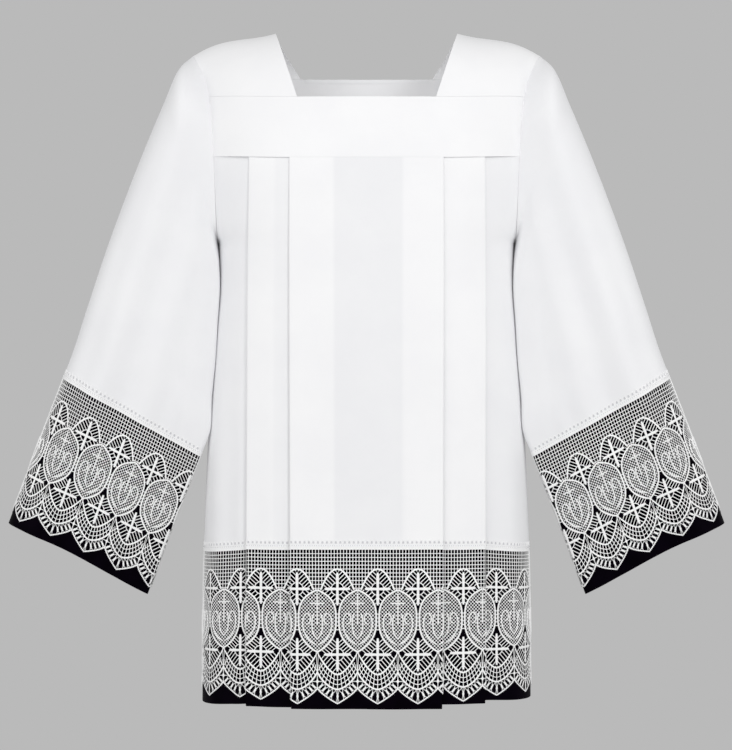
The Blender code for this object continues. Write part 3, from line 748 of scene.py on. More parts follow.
def by_length(path, count):
    """Points at equal distances along a fine path."""
    walked = running_length(path)
    at = np.linspace(0.0, walked[-1], count)
    return pair(np.interp(at, walked, path[:, 0]), np.interp(at, walked, path[:, 1]))


def both_sides(paths):
    """One path or several, and their mirror images across the motif's own axis."""
    paths = np.reshape(paths, (-1,) + np.shape(paths)[-2:])
    return np.concatenate([paths, paths * FLIP])


# ---------------------------------------------------------------- the lace's flat sizes
REPEAT = 0.0503           # width of one repeat
LACE_DEEP = 0.1937        # from the header to the scallop's tip
ARCH_TOP = 0.0248
ARCH_HALF = 0.0208
ARCH_FOOT = 0.0508
UPPER_CROSS = 0.0497
LOWER_CROSS = 0.1316
OVAL_MIDDLE = 0.0895
OVAL_HALF_WIDTH = 0.0233
OVAL_HALF_HEIGHT = 0.0387
OVAL_UPPER = 3.4          # powers of the oval's outline above and below its middle
OVAL_LOWER = 2.6
OVAL_POINT = 0.90         # and of its two points
ARC_POWER = 0.6           # power of the arcs' outline
CURVE_POINTS = 241        # of an arc or border before it is shared out evenly
INNER_ARC = (0.1286, 0.1566, 1.05)   # top, lowest point and bend of the arc under the cross
OUTER_ARC = (0.1523, 0.1750, 1.3)    # and of the outer arc
STAR_MIDDLE = 0.1650
STAR_HALF_HEIGHT = 0.0098
STAR_HALF_WIDTH = 0.0066
LADDER_DOWNS = (0.0810, 0.1005)      # first and last rung between two ovals
LADDER_RUNGS = 5
LADDER_HALF = 0.0022
VALLEY = 0.1728           # height of the border between two scallops
RING_RADIUS = 0.0078
ARM_WIDTH = 0.0036        # of a cross, narrower along its arms by the shares below
ARM_TAPER = np.array([0.62, 0.98, 1.0, 0.88, 0.84, 0.88, 1.0, 0.98, 0.62])
CORD = 0.0021             # outlines
BAR = 0.0010              # bars between outline and cross
FINE = 0.00050            # mesh threads
STUD = 0.0011             # half width of the studs where they cross
STROKE = 0.0017           # lines of the motif
NET = 0.00090             # net threads
RISE = 0.00038            # how far a thread stands up
NET_COLUMNS = 13
NET_FIRST = 0.0056
NET_ROW = 0.0048
NET_ROWS = 10
NET_OVERLAP = 0.0006      # an upright net thread ends this far inside the oval
FILL_PITCH = 0.0031       # distance between the oval's mesh threads
FILL_SLOPE = 1.05         # how steep they run
FILL_REACH = 0.06         # half the length on which each is looked for
FILL_POINTS = 481         # the places tried on it
FILL_SHORTEST = 12        # and how many of them must lie in the oval
FOLD_SPACING = 0.0022     # longest step of a thread where the cloth turns at a fold
NEAR_FOLD = 0.55          # a half repeat within this share of a repeat from a fold is beside it
FOOT_GAP = 0.0015         # the outer arcs start this far from the oval's axis
BORDER_WIDTH = 0.0017
TAPE_ABOVE = 0.0125       # the header with its stitches reaches this far up the cloth
TAPE_BELOW = 0.0008       # and this far over the lace
LOOP_PITCH = 0.0056       # from one loop of the header to the next
LOOP_HALF = 0.40          # half the width of a loop, as a share of the pitch
LOOP_LOW = -0.0064        # foot of the loops
LOOP_HIGH = 0.0046        # height of a loop
RIB_DOWNS = (-0.0056, -0.0030)         # the two ribs under the loops
RIB_SPACING = 0.002                    # step along a rib
LOOP_SHADE_SHARES = (0.10, 0.40, 0.72)        # a grey stroke of painted shade runs over these shares of a loop's height
LOOP_SHADE_WIDTHS = (0.0022, 0.0026, 0.0018)
RIB_SHADE_DOWNS = (-0.0049, -0.0037)   # ends of the small grey strokes of painted shade between the ribs
END_GAP = 0.001           # the stitches stop this far from the ends of the tape
OVERLAY_WALL = 0.6 * WALL              # thickness of the tape and of the turned neck edge
OVERLAY_OUT = 0.9 * WALL               # and how far it lies from the cloth's middle
TAPE_LIFT = 0.7 * WALL    # what lies on the tape is lifted this much above what lies on the cloth
STITCH_OUT = 0.55 * WALL  # height of the stitches' ground over the cloth's middle
SHADE_STROKE_OUT = 0.52 * WALL  # and of the grey strokes of painted shade
LINING_WALL = 0.8 * WALL
SHARP_ANGLE = 0.9         # edges that bend more than this stay sharp on the cloth
THREAD_ANGLE = 1.3        # and on the threads


def oval_half(down, inset=0.0):
    """Half width of the oval at a depth: w * (1 - |t|^power)^point, t from -1 to 1, with one
    power above the middle and a lower one below it."""
    t = (down - OVAL_MIDDLE) / (OVAL_HALF_HEIGHT - inset)
    full = np.clip(1.0 - np.abs(t) ** np.where(t < 0, OVAL_UPPER, OVAL_LOWER), 0.0, 1.0)
    return (OVAL_HALF_WIDTH - inset) * full ** OVAL_POINT


def oval_outline(count):
    """Closed outline of the oval, from its top down one side and up the other."""
    angle = np.linspace(0.0, 2.0 * np.pi, 2 * FINE_STEPS + 1)
    down = OVAL_MIDDLE - OVAL_HALF_HEIGHT * np.cos(angle)
    across = oval_half(down) * np.sign(np.sin(angle))
    return by_length(pair(across, down), count)


def arch_down(across):
    """Depth of the arch over the upper cross: a parabola."""
    share = np.clip(np.abs(across) / ARCH_HALF, 0.0, 1.0)
    return ARCH_TOP + (ARCH_FOOT - ARCH_TOP) * share ** 2


def arch_half(down):
    """Half width of the arch at a depth, the inverse of arch_down."""
    return ARCH_HALF * np.sqrt(np.clip((down - ARCH_TOP) / (ARCH_FOOT - ARCH_TOP), 0.0, 1.0))


def net():
    """Square net from the header to the arches, one repeat with its cross axis at 0: upright
    threads down to the arch or the oval, level threads between the arches."""
    columns = (np.arange(NET_COLUMNS) + 0.5) / NET_COLUMNS * REPEAT - 0.5 * REPEAT
    oval_top = OVAL_MIDDLE - OVAL_HALF_HEIGHT + NET_OVERLAP
    ends = np.where(np.abs(columns) < ARCH_HALF, arch_down(columns), oval_top)
    down = -TAPE_BELOW + (ends + TAPE_BELOW)[:, None] * np.linspace(0.0, 1.0, 7)
    rows = NET_FIRST + NET_ROW * np.arange(NET_ROWS)
    inner = arch_half(rows)
    level = inner[:, None] + (0.5 * REPEAT - inner)[:, None] * np.linspace(0.0, 1.0, 5)
    return [Strand(pair(columns[:, None], down), NET, RISE),
            Strand(both_sides(pair(level, rows[:, None])), 1.1 * NET, RISE)]


def cross_with_ring(middle, half_span, above, below):
    """A plain cross with tapered arms and a ring round its middle."""
    share = np.linspace(-1.0, 1.0, len(ARM_TAPER))
    upright = pair(0.0, middle + np.where(share < 0, above, below) * share)
    angle = np.linspace(0.0, 2.0 * np.pi, 21)
    ring = pair(RING_RADIUS * np.cos(angle), middle + RING_RADIUS * np.sin(angle))
    return [Strand([pair(half_span * share, middle), upright], ARM_WIDTH * ARM_TAPER, 2.0 * RISE),
            Strand([ring], 1.15 * BAR, 1.2 * RISE)]


def slanted_bars(outline, way, middle, first, last, count):
    """Parallel bars from an outline towards a cross: each runs along way until it meets the
    upright arm, the level arm or the ring, whichever comes first. Both sides of the axis."""
    walked = running_length(outline)
    at = np.linspace(first, last, count) * walked[-1]
    start = pair(np.interp(at, walked, outline[:, 0]), np.interp(at, walked, outline[:, 1]))
    way = np.asarray(way) / np.linalg.norm(way)
    local = start - np.array([0.0, middle])
    half_arm = 0.3 * ARM_WIDTH
    to_upright = (half_arm - local[:, 0]) / way[0]
    to_level = (np.sign(local[:, 1]) * half_arm - local[:, 1]) / way[1]
    slope = local @ way
    inside = slope ** 2 - (local ** 2).sum(axis=1) + RING_RADIUS ** 2
    to_ring = np.where(inside > 0, -slope - np.sqrt(np.maximum(inside, 0.0)), np.inf)
    reaches = np.stack([to_upright, to_level, to_ring])
    length = np.where(reaches > 0, reaches, np.inf).min(axis=0)
    return [Strand(both_sides(np.stack([start, start + way * length[:, None]], axis=1)), BAR, RISE)]


def oval_edge(first, last):
    """The neighbouring oval's edge as it lies beside a cross's axis, from one share of the
    oval's half height to another."""
    down = OVAL_MIDDLE + OVAL_HALF_HEIGHT * np.linspace(first, last, 80)
    return pair(0.5 * REPEAT - oval_half(down), down)


def upper_cross():
    """Arch, cross, ring and slanted bars, with the cross on the axis."""
    across = np.linspace(-ARCH_HALF, ARCH_HALF, 161)
    arch = pair(across, arch_down(across))
    return ([Strand([by_length(arch, 23)], CORD, 1.5 * RISE)]
            + cross_with_ring(UPPER_CROSS, 0.0160, 0.0206, 0.0204)
            + slanted_bars(arch[80:], (-0.72, 0.69), UPPER_CROSS, 0.10, 0.90, 8)
            + slanted_bars(oval_edge(-0.98, -0.50), (-0.74, -0.67), UPPER_CROSS, 0.14, 0.97, 6))


def arc_curve(arc, count):
    """Right half of a rounded arc: half a repeat times (1 - s^bend)^power across, s the share
    of the way from its top to its lowest point."""
    top, low, bend = arc
    share = np.sin(np.linspace(0.0, 0.5 * np.pi, count)) ** 1.5
    return pair(0.5 * REPEAT * (1.0 - share ** bend) ** ARC_POWER, top + (low - top) * share)


def inner_arc(count):
    """Right half of the arc under the lower cross, from the oval's foot to its lowest point."""
    return by_length(arc_curve(INNER_ARC, CURVE_POINTS), count)


def outer_arc(count):
    """Right half of the outer arc: straight down under the oval, then the arc."""
    start = np.array([[0.5 * REPEAT - FOOT_GAP, INNER_ARC[0]]])
    return by_length(np.concatenate([start, arc_curve(OUTER_ARC, CURVE_POINTS)]), count)


def lower_cross():
    """Lower cross with its bars, four arcs under it and the bars between them."""
    steps = 21
    inner, outer = inner_arc(steps), outer_arc(steps)
    between = np.stack([inner + (outer - inner) * share for share in (0.36, 0.68)])
    taper = CORD * np.stack([np.interp(np.arange(steps), [0, 6], [0.45, 1.0]),
                             np.interp(np.arange(steps), [0, 6, 10], [0.33, 0.36, 1.0])])
    stops = np.arange(8, steps - 1, 2)
    bars = both_sides(np.stack([inner[stops], between[1][stops], outer[stops]], axis=1))
    axis = np.stack([inner[-1], outer[-1]])[None]
    return (cross_with_ring(LOWER_CROSS, 0.0168, 0.0205, 0.0210)
            + slanted_bars(oval_edge(0.56, 0.99), (-0.76, 0.65), LOWER_CROSS, 0.04, 0.80, 6)
            + slanted_bars(inner_arc(80), (-0.66, -0.75), LOWER_CROSS, 0.14, 0.93, 8)
            + [Strand(both_sides(np.stack([inner, outer])), np.concatenate([taper, taper]), 1.2 * RISE),
               Strand(both_sides(between[:, 6:]), BAR, RISE),
               Strand(bars, BAR, RISE),
               Strand(axis, BAR, RISE)])


# One row for each petal between the outer arc and the border, on the right of a cross's axis:
# its middle across and down and how far it leans outwards at its foot.
Petal = namedtuple("Petal", "across down lean")
PETALS = (
    Petal(0.0210, 0.1712, 0.80),
    Petal(0.0170, 0.1748, 0.76),
    Petal(0.0123, 0.1786, 0.66),
    Petal(0.0071, 0.1818, 0.45),
    Petal(0.0, 0.1838, 0.0),
)
PETAL_SPREAD = 17         # its legs stand this many 240ths of the curve to either side
PETAL_RUN = np.array([-0.0040, -0.0018, 0.0, 0.0018, 0.0036])
PETAL_WIDTH = np.array([0.0007, 0.0022, 0.0028, 0.0021, 0.0007])


def meeting_place(curve, middle, way):
    """Index of the point of a curve nearest to the line through middle along way."""
    gap = curve - middle
    return int(np.argmin(np.abs(gap[:, 0] * way[1] - gap[:, 1] * way[0])))


def border():
    """Scalloped lower border, and petals between it and the outer arc. The border runs from
    valley to tip as share^0.72; each petal hangs on two thin legs and stands on two more."""
    share = np.linspace(0.0, 1.0, 81)
    across = 0.5 * REPEAT * (1.0 - share)
    down = VALLEY + (LACE_DEEP - 0.5 * BORDER_WIDTH - VALLEY) * share ** 0.72
    right = by_length(pair(across, down), 29)
    edge = np.concatenate([right, (right * FLIP)[-2::-1]])
    picots = BORDER_WIDTH * (1.0 + 0.30 * np.cos(np.arange(len(edge)) * np.pi))
    arc = by_length(arc_curve(OUTER_ARC, CURVE_POINTS), CURVE_POINTS)
    fine = by_length(right, CURVE_POINTS)
    drops, legs = [], []
    for petal in PETALS:
        middle = np.array([petal.across, petal.down])
        way = np.array([np.sin(petal.lean), np.cos(petal.lean)])
        drops.append(middle + way * PETAL_RUN[:, None])
        for curve in (arc, fine):
            place = meeting_place(curve, middle, way)
            for turn in (-PETAL_SPREAD, PETAL_SPREAD):
                legs.append(np.stack([curve[np.clip(place + turn, 0, CURVE_POINTS - 1)], middle]))
    return [
        Strand([edge], picots, 1.2 * RISE),
        Strand(both_sides(np.stack(drops[:-1])), PETAL_WIDTH, 1.7 * RISE),
        Strand(drops[-1:], PETAL_WIDTH, 1.7 * RISE),
        Strand(both_sides(np.stack(legs)), 0.7 * BAR, RISE),
    ]


def fill_lines(sign):
    """One family of the oval's slanting mesh threads, each cut where it leaves the oval."""
    way = np.array([1.0, sign * FILL_SLOPE])
    way /= np.linalg.norm(way)
    across = np.array([-way[1], way[0]])
    offsets = (np.arange(-20, 21) * FILL_PITCH)[:, None, None]
    run = np.linspace(-FILL_REACH, FILL_REACH, FILL_POINTS)[None, :, None]
    points = np.array([0.0, OVAL_MIDDLE]) + offsets * across + run * way
    inside = np.abs(points[..., 0]) < oval_half(points[..., 1], 0.4 * CORD)
    keep = inside.sum(axis=1) > FILL_SHORTEST
    first = inside.argmax(axis=1)[keep]
    last = FILL_POINTS - 1 - inside[:, ::-1].argmax(axis=1)[keep]
    rows = np.arange(len(first))
    start, end = points[keep][rows, first], points[keep][rows, last]
    return start[:, None] + (end - start)[:, None] * np.linspace(0.0, 1.0, 5)[None, :, None]


def fill_studs():
    """Places where the mesh threads cross inside the oval."""
    way = np.array([1.0, FILL_SLOPE])
    way /= np.linalg.norm(way)
    step = FILL_PITCH / (2.0 * way[0] * way[1])
    i, j = np.meshgrid(np.arange(-30, 31), np.arange(-30, 31))
    crossing = (i + j) % 2 == 0
    across = (i * step * way[0])[crossing]
    down = (j * step * way[1])[crossing] + OVAL_MIDDLE
    inside = np.abs(across) < oval_half(down, CORD) - 0.4 * CORD
    return pair(across[inside], down[inside])


# Right halves of the motif's two pairs of scrolls, as knots across and down.
OUTER_SCROLL = ((0.0010, 0.1195), (0.0092, 0.1140), (0.0155, 0.1050), (0.0182, 0.0945), (0.0168, 0.0845),
                (0.0122, 0.0800), (0.0085, 0.0850), (0.0100, 0.0925), (0.0142, 0.0935))
INNER_SCROLL = ((0.0006, 0.1115), (0.0050, 0.1050), (0.0064, 0.0960), (0.0062, 0.0870), (0.0042, 0.0800))
MOTIF_UPRIGHT = (0.0555, 0.0935)   # the small cross: where its upright starts and ends
MOTIF_ARM = 0.0088                 # half the length of its arms
MOTIF_ARM_DOWN = 0.0676            # and where they lie


def scroll(knots, count):
    """The smooth curve through some knots and its mirror image, at equal steps."""
    fine = smooth_at(np.linspace(0.0, len(knots) - 1.0, 161), np.arange(len(knots)), knots)
    return both_sides(by_length(fine, count))


def oval():
    """The oval with its mesh, and in it a small plain cross between two pairs of scrolls."""
    upright = pair(0.0, np.linspace(*MOTIF_UPRIGHT, 5))
    level = pair(np.linspace(-MOTIF_ARM, MOTIF_ARM, 5), MOTIF_ARM_DOWN)
    lines = ([upright, level], scroll(OUTER_SCROLL, 31), scroll(INNER_SCROLL, 15))
    return ([Strand([oval_outline(49)], CORD, 1.5 * RISE)]
            + [Strand(fill_lines(sign), FINE, 0.8 * RISE) for sign in (1.0, -1.0)]
            + [Strand(line, STROKE, 2.4 * RISE) for line in lines])


def star():
    """The four-pointed star between two scallops, on the axis of an oval."""
    run = np.array([-1.0, -0.28, 0.0, 0.28, 1.0])
    width = np.array([0.0008, 0.0011, 0.0036, 0.0011, 0.0008])
    arms = [pair(0.0, STAR_MIDDLE + STAR_HALF_HEIGHT * run), pair(STAR_HALF_WIDTH * run, STAR_MIDDLE)]
    return [Strand(arms, width, 1.5 * RISE)]


def ladder():
    """Rungs between two ovals, on the axis of the crosses."""
    downs = np.linspace(*LADDER_DOWNS, LADDER_RUNGS)
    return [Strand(pair(np.linspace(-LADDER_HALF, LADDER_HALF, 3), downs[:, None]), 1.15 * BAR, RISE)]


def lace_halves(spacing):
    """The two halves of a repeat, each on its own axis: the oval and the crosses."""
    at_oval = oval() + star()
    at_cross = net() + upper_cross() + lower_cross() + border() + ladder()
    ovals, crosses = (joined([threads(*strand, spacing) for strand in half])
                      for half in (at_oval, at_cross))
    return joined([ovals, studs(fill_studs(), STUD, 1.4 * RISE)]), crosses


def lace_band(sheet, phase, pitch=REPEAT, trim=0.0):
    """Every repeat that reaches the sheet, cut at its two sides. phase is the flat place of
    one oval's axis, pitch the width of a repeat after easing, trim what the lace is short of
    the sheet's lower edge. Halves beside an outer fold are made of shorter steps."""
    low, high = sheet.along[0], sheet.along[-1]
    plain, bent = lace_halves(None), lace_halves(FOLD_SPACING)
    first = int(np.floor((low - phase) / pitch)) - 1
    last = int(np.ceil((high - phase) / pitch)) + 1
    places = np.arange(2 * first, 2 * last + 1)
    turns = np.array([])
    if sheet.level is not None:
        turns = sheet.along[(sheet.level[0] % 1.0 > 0.0) & (sheet.level[0] // 1.0 % 2.0 == 1.0)]
    units = []
    for half in places:
        near_fold = np.any(np.abs(turns - phase - 0.5 * half * pitch) < NEAR_FOLD * pitch)
        units.append(moved((bent if near_fold else plain)[half % 2], 0.5 * half * REPEAT))
    band = joined(units)
    places = band.places * np.array([pitch / REPEAT, 1.0, 1.0]) + np.array([phase, 0.0, 0.0])
    within = (places[:, 0] > low) & (places[:, 0] < high)
    kept = np.bincount(band.owners[within], minlength=band.owners.max() + 1) > 0
    faces = band.faces[kept[band.owners[band.faces[:, 0]]]]
    used = np.unique(faces)
    renumber = np.zeros(len(places), int)
    renumber[used] = np.arange(len(used))
    places = places[used] * np.array([1.0, (sheet.down[-1] - trim) / LACE_DEEP, 1.0])
    places[:, 0] = np.clip(places[:, 0], low, high)
    return Threads(places, renumber[faces], band.owners[used])


# One row for each side of the body: how far from the middle an oval's axis lies on the panel
# between the folds and on the cloth beyond them.
OvalPlace = namedtuple("OvalPlace", "side panel beyond")
OVAL_PLACES = (OvalPlace("left", 0.1068, 0.1803), OvalPlace("right", 0.1436, 0.1852))
FRONT_OVAL = -0.0112      # one oval's axis on the middle panel
EASE_HEIGHT = -0.74       # the folds' places are taken at this height
EASE_RUN = 0.10           # the easing is spread over this length before a fold


def eased_along(sheet):
    """The sheet's flat coordinate with the lace eased a little under each fold, so that an
    oval's axis comes to its stated place on every panel."""
    row = sheet.points.shape[0] // 2
    across, level, along = sheet.across[row], sheet.level[row], sheet.along
    shifted = along.copy()
    for place in OVAL_PLACES:
        sign = -1.0 if place.side == "left" else 1.0
        distance = sign * across
        on_side = distance > 0
        knots, shifts = [0.0], [0.0]
        carried = 0.0
        for here, order, target in ((TOP_LEVEL - 2, "inner", place.panel),
                                    (TOP_LEVEL - 4, "outer", place.beyond)):
            on_level = on_side & (level == here)
            sorting = np.argsort(distance[on_level])
            away = distance[on_level][sorting]
            flat = (sign * along)[on_level][sorting]
            natural = np.interp(target, away, flat) * sign
            wanted = FRONT_OVAL + REPEAT * np.round((natural + sign * carried - FRONT_OVAL) / REPEAT)
            edge = np.interp(fold_place(pleat_row(place.side, order), EASE_HEIGHT), away, flat)
            knots += [edge - EASE_RUN, edge]
            shifts += [carried, (wanted - natural) * sign]
            carried = shifts[-1]
        change = np.interp(sign * along, knots, shifts) * sign
        shifted = np.where(on_side, along + change, shifted)
    return sheet._replace(along=np.maximum.accumulate(shifted))


# ---------------------------------------------------------------- materials
def new_material(name):
    """A Principled material and its node tree."""
    material = bpy.data.materials.new(name)
    material.use_nodes = True
    return material, material.node_tree, material.node_tree.nodes["Principled BSDF"]


def fill_inputs(tree, node, inputs):
    """Links or sets a node's inputs, by their names or numbers."""
    for name, value in inputs.items():
        if isinstance(value, bpy.types.NodeSocket):
            tree.links.new(value, node.inputs[name])
        else:
            node.inputs[name].default_value = value


def new_node(tree, kind, inputs=None, **settings):
    """A new node of a kind, with some of its settings and inputs given."""
    node = tree.nodes.new("ShaderNode" + kind)
    for name, value in settings.items():
        setattr(node, name, value)
    fill_inputs(tree, node, inputs or {})
    return node


def noise(tree, scale, detail, distortion=0.0):
    """Noise on Object coordinates."""
    place = new_node(tree, "TexCoord").outputs["Object"]
    settings = {"Vector": place, "Scale": scale, "Detail": detail, "Distortion": distortion}
    return new_node(tree, "TexNoise", settings).outputs["Fac"]


def colour_ramp(tree, value, first, last):
    """Colour from first to last over the middle of a value's range."""
    ramp = new_node(tree, "ValToRGB", {"Fac": value})
    for element, position, colour in zip(ramp.color_ramp.elements, (0.35, 0.65), (first, last)):
        element.position = position
        element.color = (*colour, 1.0)
    return ramp.outputs["Color"]


def weave_height(tree, pitch):
    """Plain weave: two sets of fine bands, one level and one upright, multiplied."""
    place = new_node(tree, "TexCoord").outputs["Object"]
    settings = {"Vector": place, "Scale": 0.314 / pitch, "Distortion": 0.3}
    waves = [new_node(tree, "TexWave", settings, wave_type="BANDS", bands_direction=axis).outputs["Fac"]
             for axis in ("X", "Z")]
    return new_node(tree, "Math", {0: waves[0], 1: waves[1]}, operation="MULTIPLY").outputs[0]


def bumped(tree, height, strength, distance, **before):
    """Normal bumped by a height, on top of an earlier bump where Normal is given."""
    settings = {"Height": height, "Strength": strength, "Distance": distance, **before}
    return new_node(tree, "Bump", settings).outputs["Normal"]


def mixed_colour(tree, share, first, last, **settings):
    """Colour mixed from two, which a Mix node of colours takes at its inputs 6 and 7."""
    node = new_node(tree, "Mix", data_type="RGBA", **settings)
    fill_inputs(tree, node, {0: share, 6: first, 7: last})
    return node.outputs[2]


def white_cloth(name, single_shaded, doubled_lit):
    """Light plain-woven cloth. Its colour goes from the single colour to the doubled one where
    layers lie behind it, as painted shade and light: darker where one layer lies over the shaded
    hollow, lighter where layers behind send light back. It has a faint cloudiness, and its bump
    is a weave over very soft creasing."""
    material, tree, shader = new_material(name)
    # painted shade: darker for one layer over the shaded hollow, lighter where layers lie behind
    backing_shade = new_node(tree, "Attribute", attribute_name="backing_shade").outputs["Fac"]
    tone = mixed_colour(tree, backing_shade, (*single_shaded, 1.0), (*doubled_lit, 1.0))
    clouding = colour_ramp(tree, noise(tree, 14.0, 3.0), (0.975, 0.975, 0.98), (1.0, 1.0, 1.0))
    colour = mixed_colour(tree, 1.0, tone, clouding, blend_type="MULTIPLY")
    soft = bumped(tree, noise(tree, 30.0, 2.0, 0.4), 0.10, 0.004)
    weave = bumped(tree, weave_height(tree, 0.0007), 0.12, 0.0003, Normal=soft)
    fill_inputs(tree, shader, {"Base Color": colour, "Normal": weave, "Roughness": 0.82,
                               "Specular IOR Level": 0.2, "Sheen Weight": 0.12, "Sheen Roughness": 0.6})
    return material


def lace_thread(name, colour):
    """Matt cotton thread with a fine twist in its bump."""
    material, tree, shader = new_material(name)
    shade = colour_ramp(tree, noise(tree, 400.0, 2.0), tuple(0.97 * c for c in colour), colour)
    twist = bumped(tree, noise(tree, 900.0, 1.0), 0.2, 0.0003)
    fill_inputs(tree, shader, {"Base Color": shade, "Normal": twist, "Roughness": 0.8,
                               "Specular IOR Level": 0.2})
    return material


def dark_lining(name):
    """Near-black satin: fine upright grain, soft gloss."""
    material, tree, shader = new_material(name)
    shade = colour_ramp(tree, noise(tree, 60.0, 2.0), (0.0008, 0.0001, 0.0016), (0.0016, 0.0004, 0.0028))
    weave = bumped(tree, weave_height(tree, 0.0006), 0.10, 0.0002)
    fill_inputs(tree, shader, {"Base Color": shade, "Normal": weave, "Roughness": 0.55,
                               "Specular IOR Level": 0.02})
    return material


# the cloth's two colours are painted shade and light: one layer over the shaded hollow, then layers behind
CLOTH = white_cloth("white_cloth", (0.90, 0.902, 0.915), (0.95, 0.95, 0.958))
THREAD = lace_thread("lace_thread", (0.97, 0.97, 0.97))
TAPE = lace_thread("header_tape", (0.96, 0.96, 0.965))
# grey strokes of painted shade inside the header's loops and between its ribs
SHADE_STROKE = lace_thread("header_shade_stroke", (0.66, 0.66, 0.68))
LINING = dark_lining("dark_lining")


# ---------------------------------------------------------------- body
BACKING_SHADE_EDGE = 0.002      # width of the soft edge where cloth begins to lie behind cloth and the painted shade turns lighter
PANEL_BACKING_SHADE = 0.35      # share of full backing, the lighter painted tone, that the whole panel between the folds has


def backing_shade_of(sheet):
    """1 where the cloth has other layers close behind it, else 0, with a narrow soft edge. It is
    the mask of the cloth's painted shade: darker at 0, lighter at 1.
    """
    distance = np.abs(sheet.across)

    def behind(side, order):
        row = pleat_row(side, order)
        return np.clip((distance - (row.fold_hem - row.under)) / BACKING_SHADE_EDGE, 0.0, 1.0)

    def of_side(side):
        panel = PANEL_BACKING_SHADE + (1.0 - PANEL_BACKING_SHADE) * behind(side, "outer")
        lower = np.where(sheet.level > 1, panel, 0.0)
        return np.where(sheet.level > TOP_LEVEL - 1, behind(side, "inner"), lower)

    return np.where(sheet.across < 0, of_side("left"), of_side("right"))


def header_stitches(low, high):
    """Hemstitched header: a row of upside-down U loops on the cloth and two ribs on the tape,
    and grey strokes of painted shade inside the loops and between the ribs, from low to high."""
    count = int((high - low) / LOOP_PITCH)
    start = low + LOOP_PITCH * (np.arange(count) + 0.5)
    share = np.linspace(-1.0, 1.0, 7)
    loops = pair(start[:, None] + LOOP_HALF * LOOP_PITCH * share,
                 LOOP_LOW - LOOP_HIGH * (1.0 - share ** 4))
    run = np.linspace(low, high, int((high - low) / RIB_SPACING))
    ribs = pair(run, np.array(RIB_DOWNS)[:, None])
    loop_shade = pair(start[:, None], LOOP_LOW - LOOP_HIGH * np.array(LOOP_SHADE_SHARES))
    dots = low + 0.5 * LOOP_PITCH * (np.arange(2 * count) + 0.5)
    rib_shade = pair(dots[:, None], np.array(RIB_SHADE_DOWNS))
    stitches = joined([threads(loops, 0.0011, 0.0005),
                       moved(threads(ribs, 0.0010, 0.0004), 0.0, TAPE_LIFT)])
    # painted shade: grey strokes inside each loop and between the ribs
    shade_strokes = joined([threads(loop_shade, LOOP_SHADE_WIDTHS, 0.0002),
                      moved(threads(rib_shade, 0.0009, 0.0002), 0.0, TAPE_LIFT)])
    return stitches, shade_strokes


def add_header(tag, tape, closed, hand):
    """Header tape on the lower half of its sheet, with its stitches and its grey strokes of
    painted shade, as a list of pieces."""
    band = sheet_part(tape, TAPE_ROWS // 2, TAPE_ROWS)
    stitches, shade_strokes = header_stitches(tape.along[0] + END_GAP, tape.along[-1] - END_GAP)
    return [
        add_wall("header_" + tag, band, TAPE, OVERLAY_OUT, OVERLAY_WALL, closed, hand),
        add_threads("header_stitches_" + tag, stitches, tape, STITCH_OUT, TAPE, hand),
        add_threads("header_shade_strokes_" + tag, shade_strokes, tape, SHADE_STROKE_OUT, SHADE_STROKE, hand),
    ]


def add_threads(name, group, sheet, out, material, hand):
    """Threads placed on a sheet, moved out by out. hand is -1 where the sheet's columns run the
    other way round, as in add_wall."""
    placed = on_sheet(sheet, group.places[:, 0], group.places[:, 1], group.places[:, 2] + out)
    faces = group.faces[:, ::-1] if hand > 0 else group.faces
    return add_mesh(name, placed, faces, material, THREAD_ANGLE)


def declare_lace(piece):
    """Reads the areas of a lace band's faces into an array and does nothing more with them."""
    areas = np.empty(len(piece.data.polygons))
    piece.data.polygons.foreach_get("area", areas)


def add_band(tag, band, lace, under, closed, hand):
    """A band of lace with the lining under it."""
    piece = add_threads("lace_threads_" + tag, lace, band, LAYER_OFFSET, THREAD, hand)
    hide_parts("lace_" + tag)
    declare_lace(piece)
    piece = add_wall("lining_satin_" + tag, under, LINING, -LAYER_OFFSET, LINING_WALL,
                     closed, hand)
    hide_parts("lining_" + tag)


def neck_facing(yoke, half):
    """The turned edge inside the neck: the yoke's top rows between the neck's corners."""
    columns = np.flatnonzero(np.abs(yoke.across[0]) < half)
    first, last = columns[0], columns[-1] + 1
    top = sheet_part(yoke, 0, FACING_ROWS)
    return top._replace(points=top.points[:, first:last], normals=top.normals[:, first:last],
                        along=top.along[first:last])


def build_body(face, tag, yoke_top, yoke_seam, neck_half):
    """Yoke, pleated panel, header tape, lace and lining of the front or the back."""
    yoke = yoke_sheet(yoke_top, yoke_seam, face)
    piece = add_wall("yoke_cloth_" + tag, yoke, CLOTH, outward=face, backing_shade=1.0 + yoke.level)
    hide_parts("yoke_" + tag)
    facing = neck_facing(yoke, neck_half)
    turned = add_wall("neck_facing_" + tag, facing, CLOTH, -OVERLAY_OUT, OVERLAY_WALL,
                      outward=face, backing_shade=np.ones(facing.points.shape[:2]))
    panel = pleated_sheet(yoke_seam - SEAM_GAP, "cloth", CLOTH_ROWS, face)
    piece = add_wall("body_cloth_" + tag, panel, CLOTH, outward=face, backing_shade=backing_shade_of(panel))
    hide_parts("body_" + tag)
    tape = pleated_sheet("cloth", "cloth", TAPE_ROWS, face, above=TAPE_ABOVE, below=TAPE_BELOW)
    header = add_header("body_" + tag, tape, False, face)
    band = eased_along(pleated_sheet("cloth", "lace", BAND_ROWS, face))
    under = pleated_sheet("cloth", "lining", BAND_ROWS, face)
    add_band("body_" + tag, band, lace_band(band, FRONT_OVAL), under, False, face)


# ---------------------------------------------------------------- sleeves and shoulders
SLEEVE_OVAL = 0.0200      # flat distance of an oval's axis from the sleeve's outer edge, in front
SLEEVE_REPEATS = 10       # repeats of the lace round a cuff
SLEEVE_LACE_TRIM = 0.0035


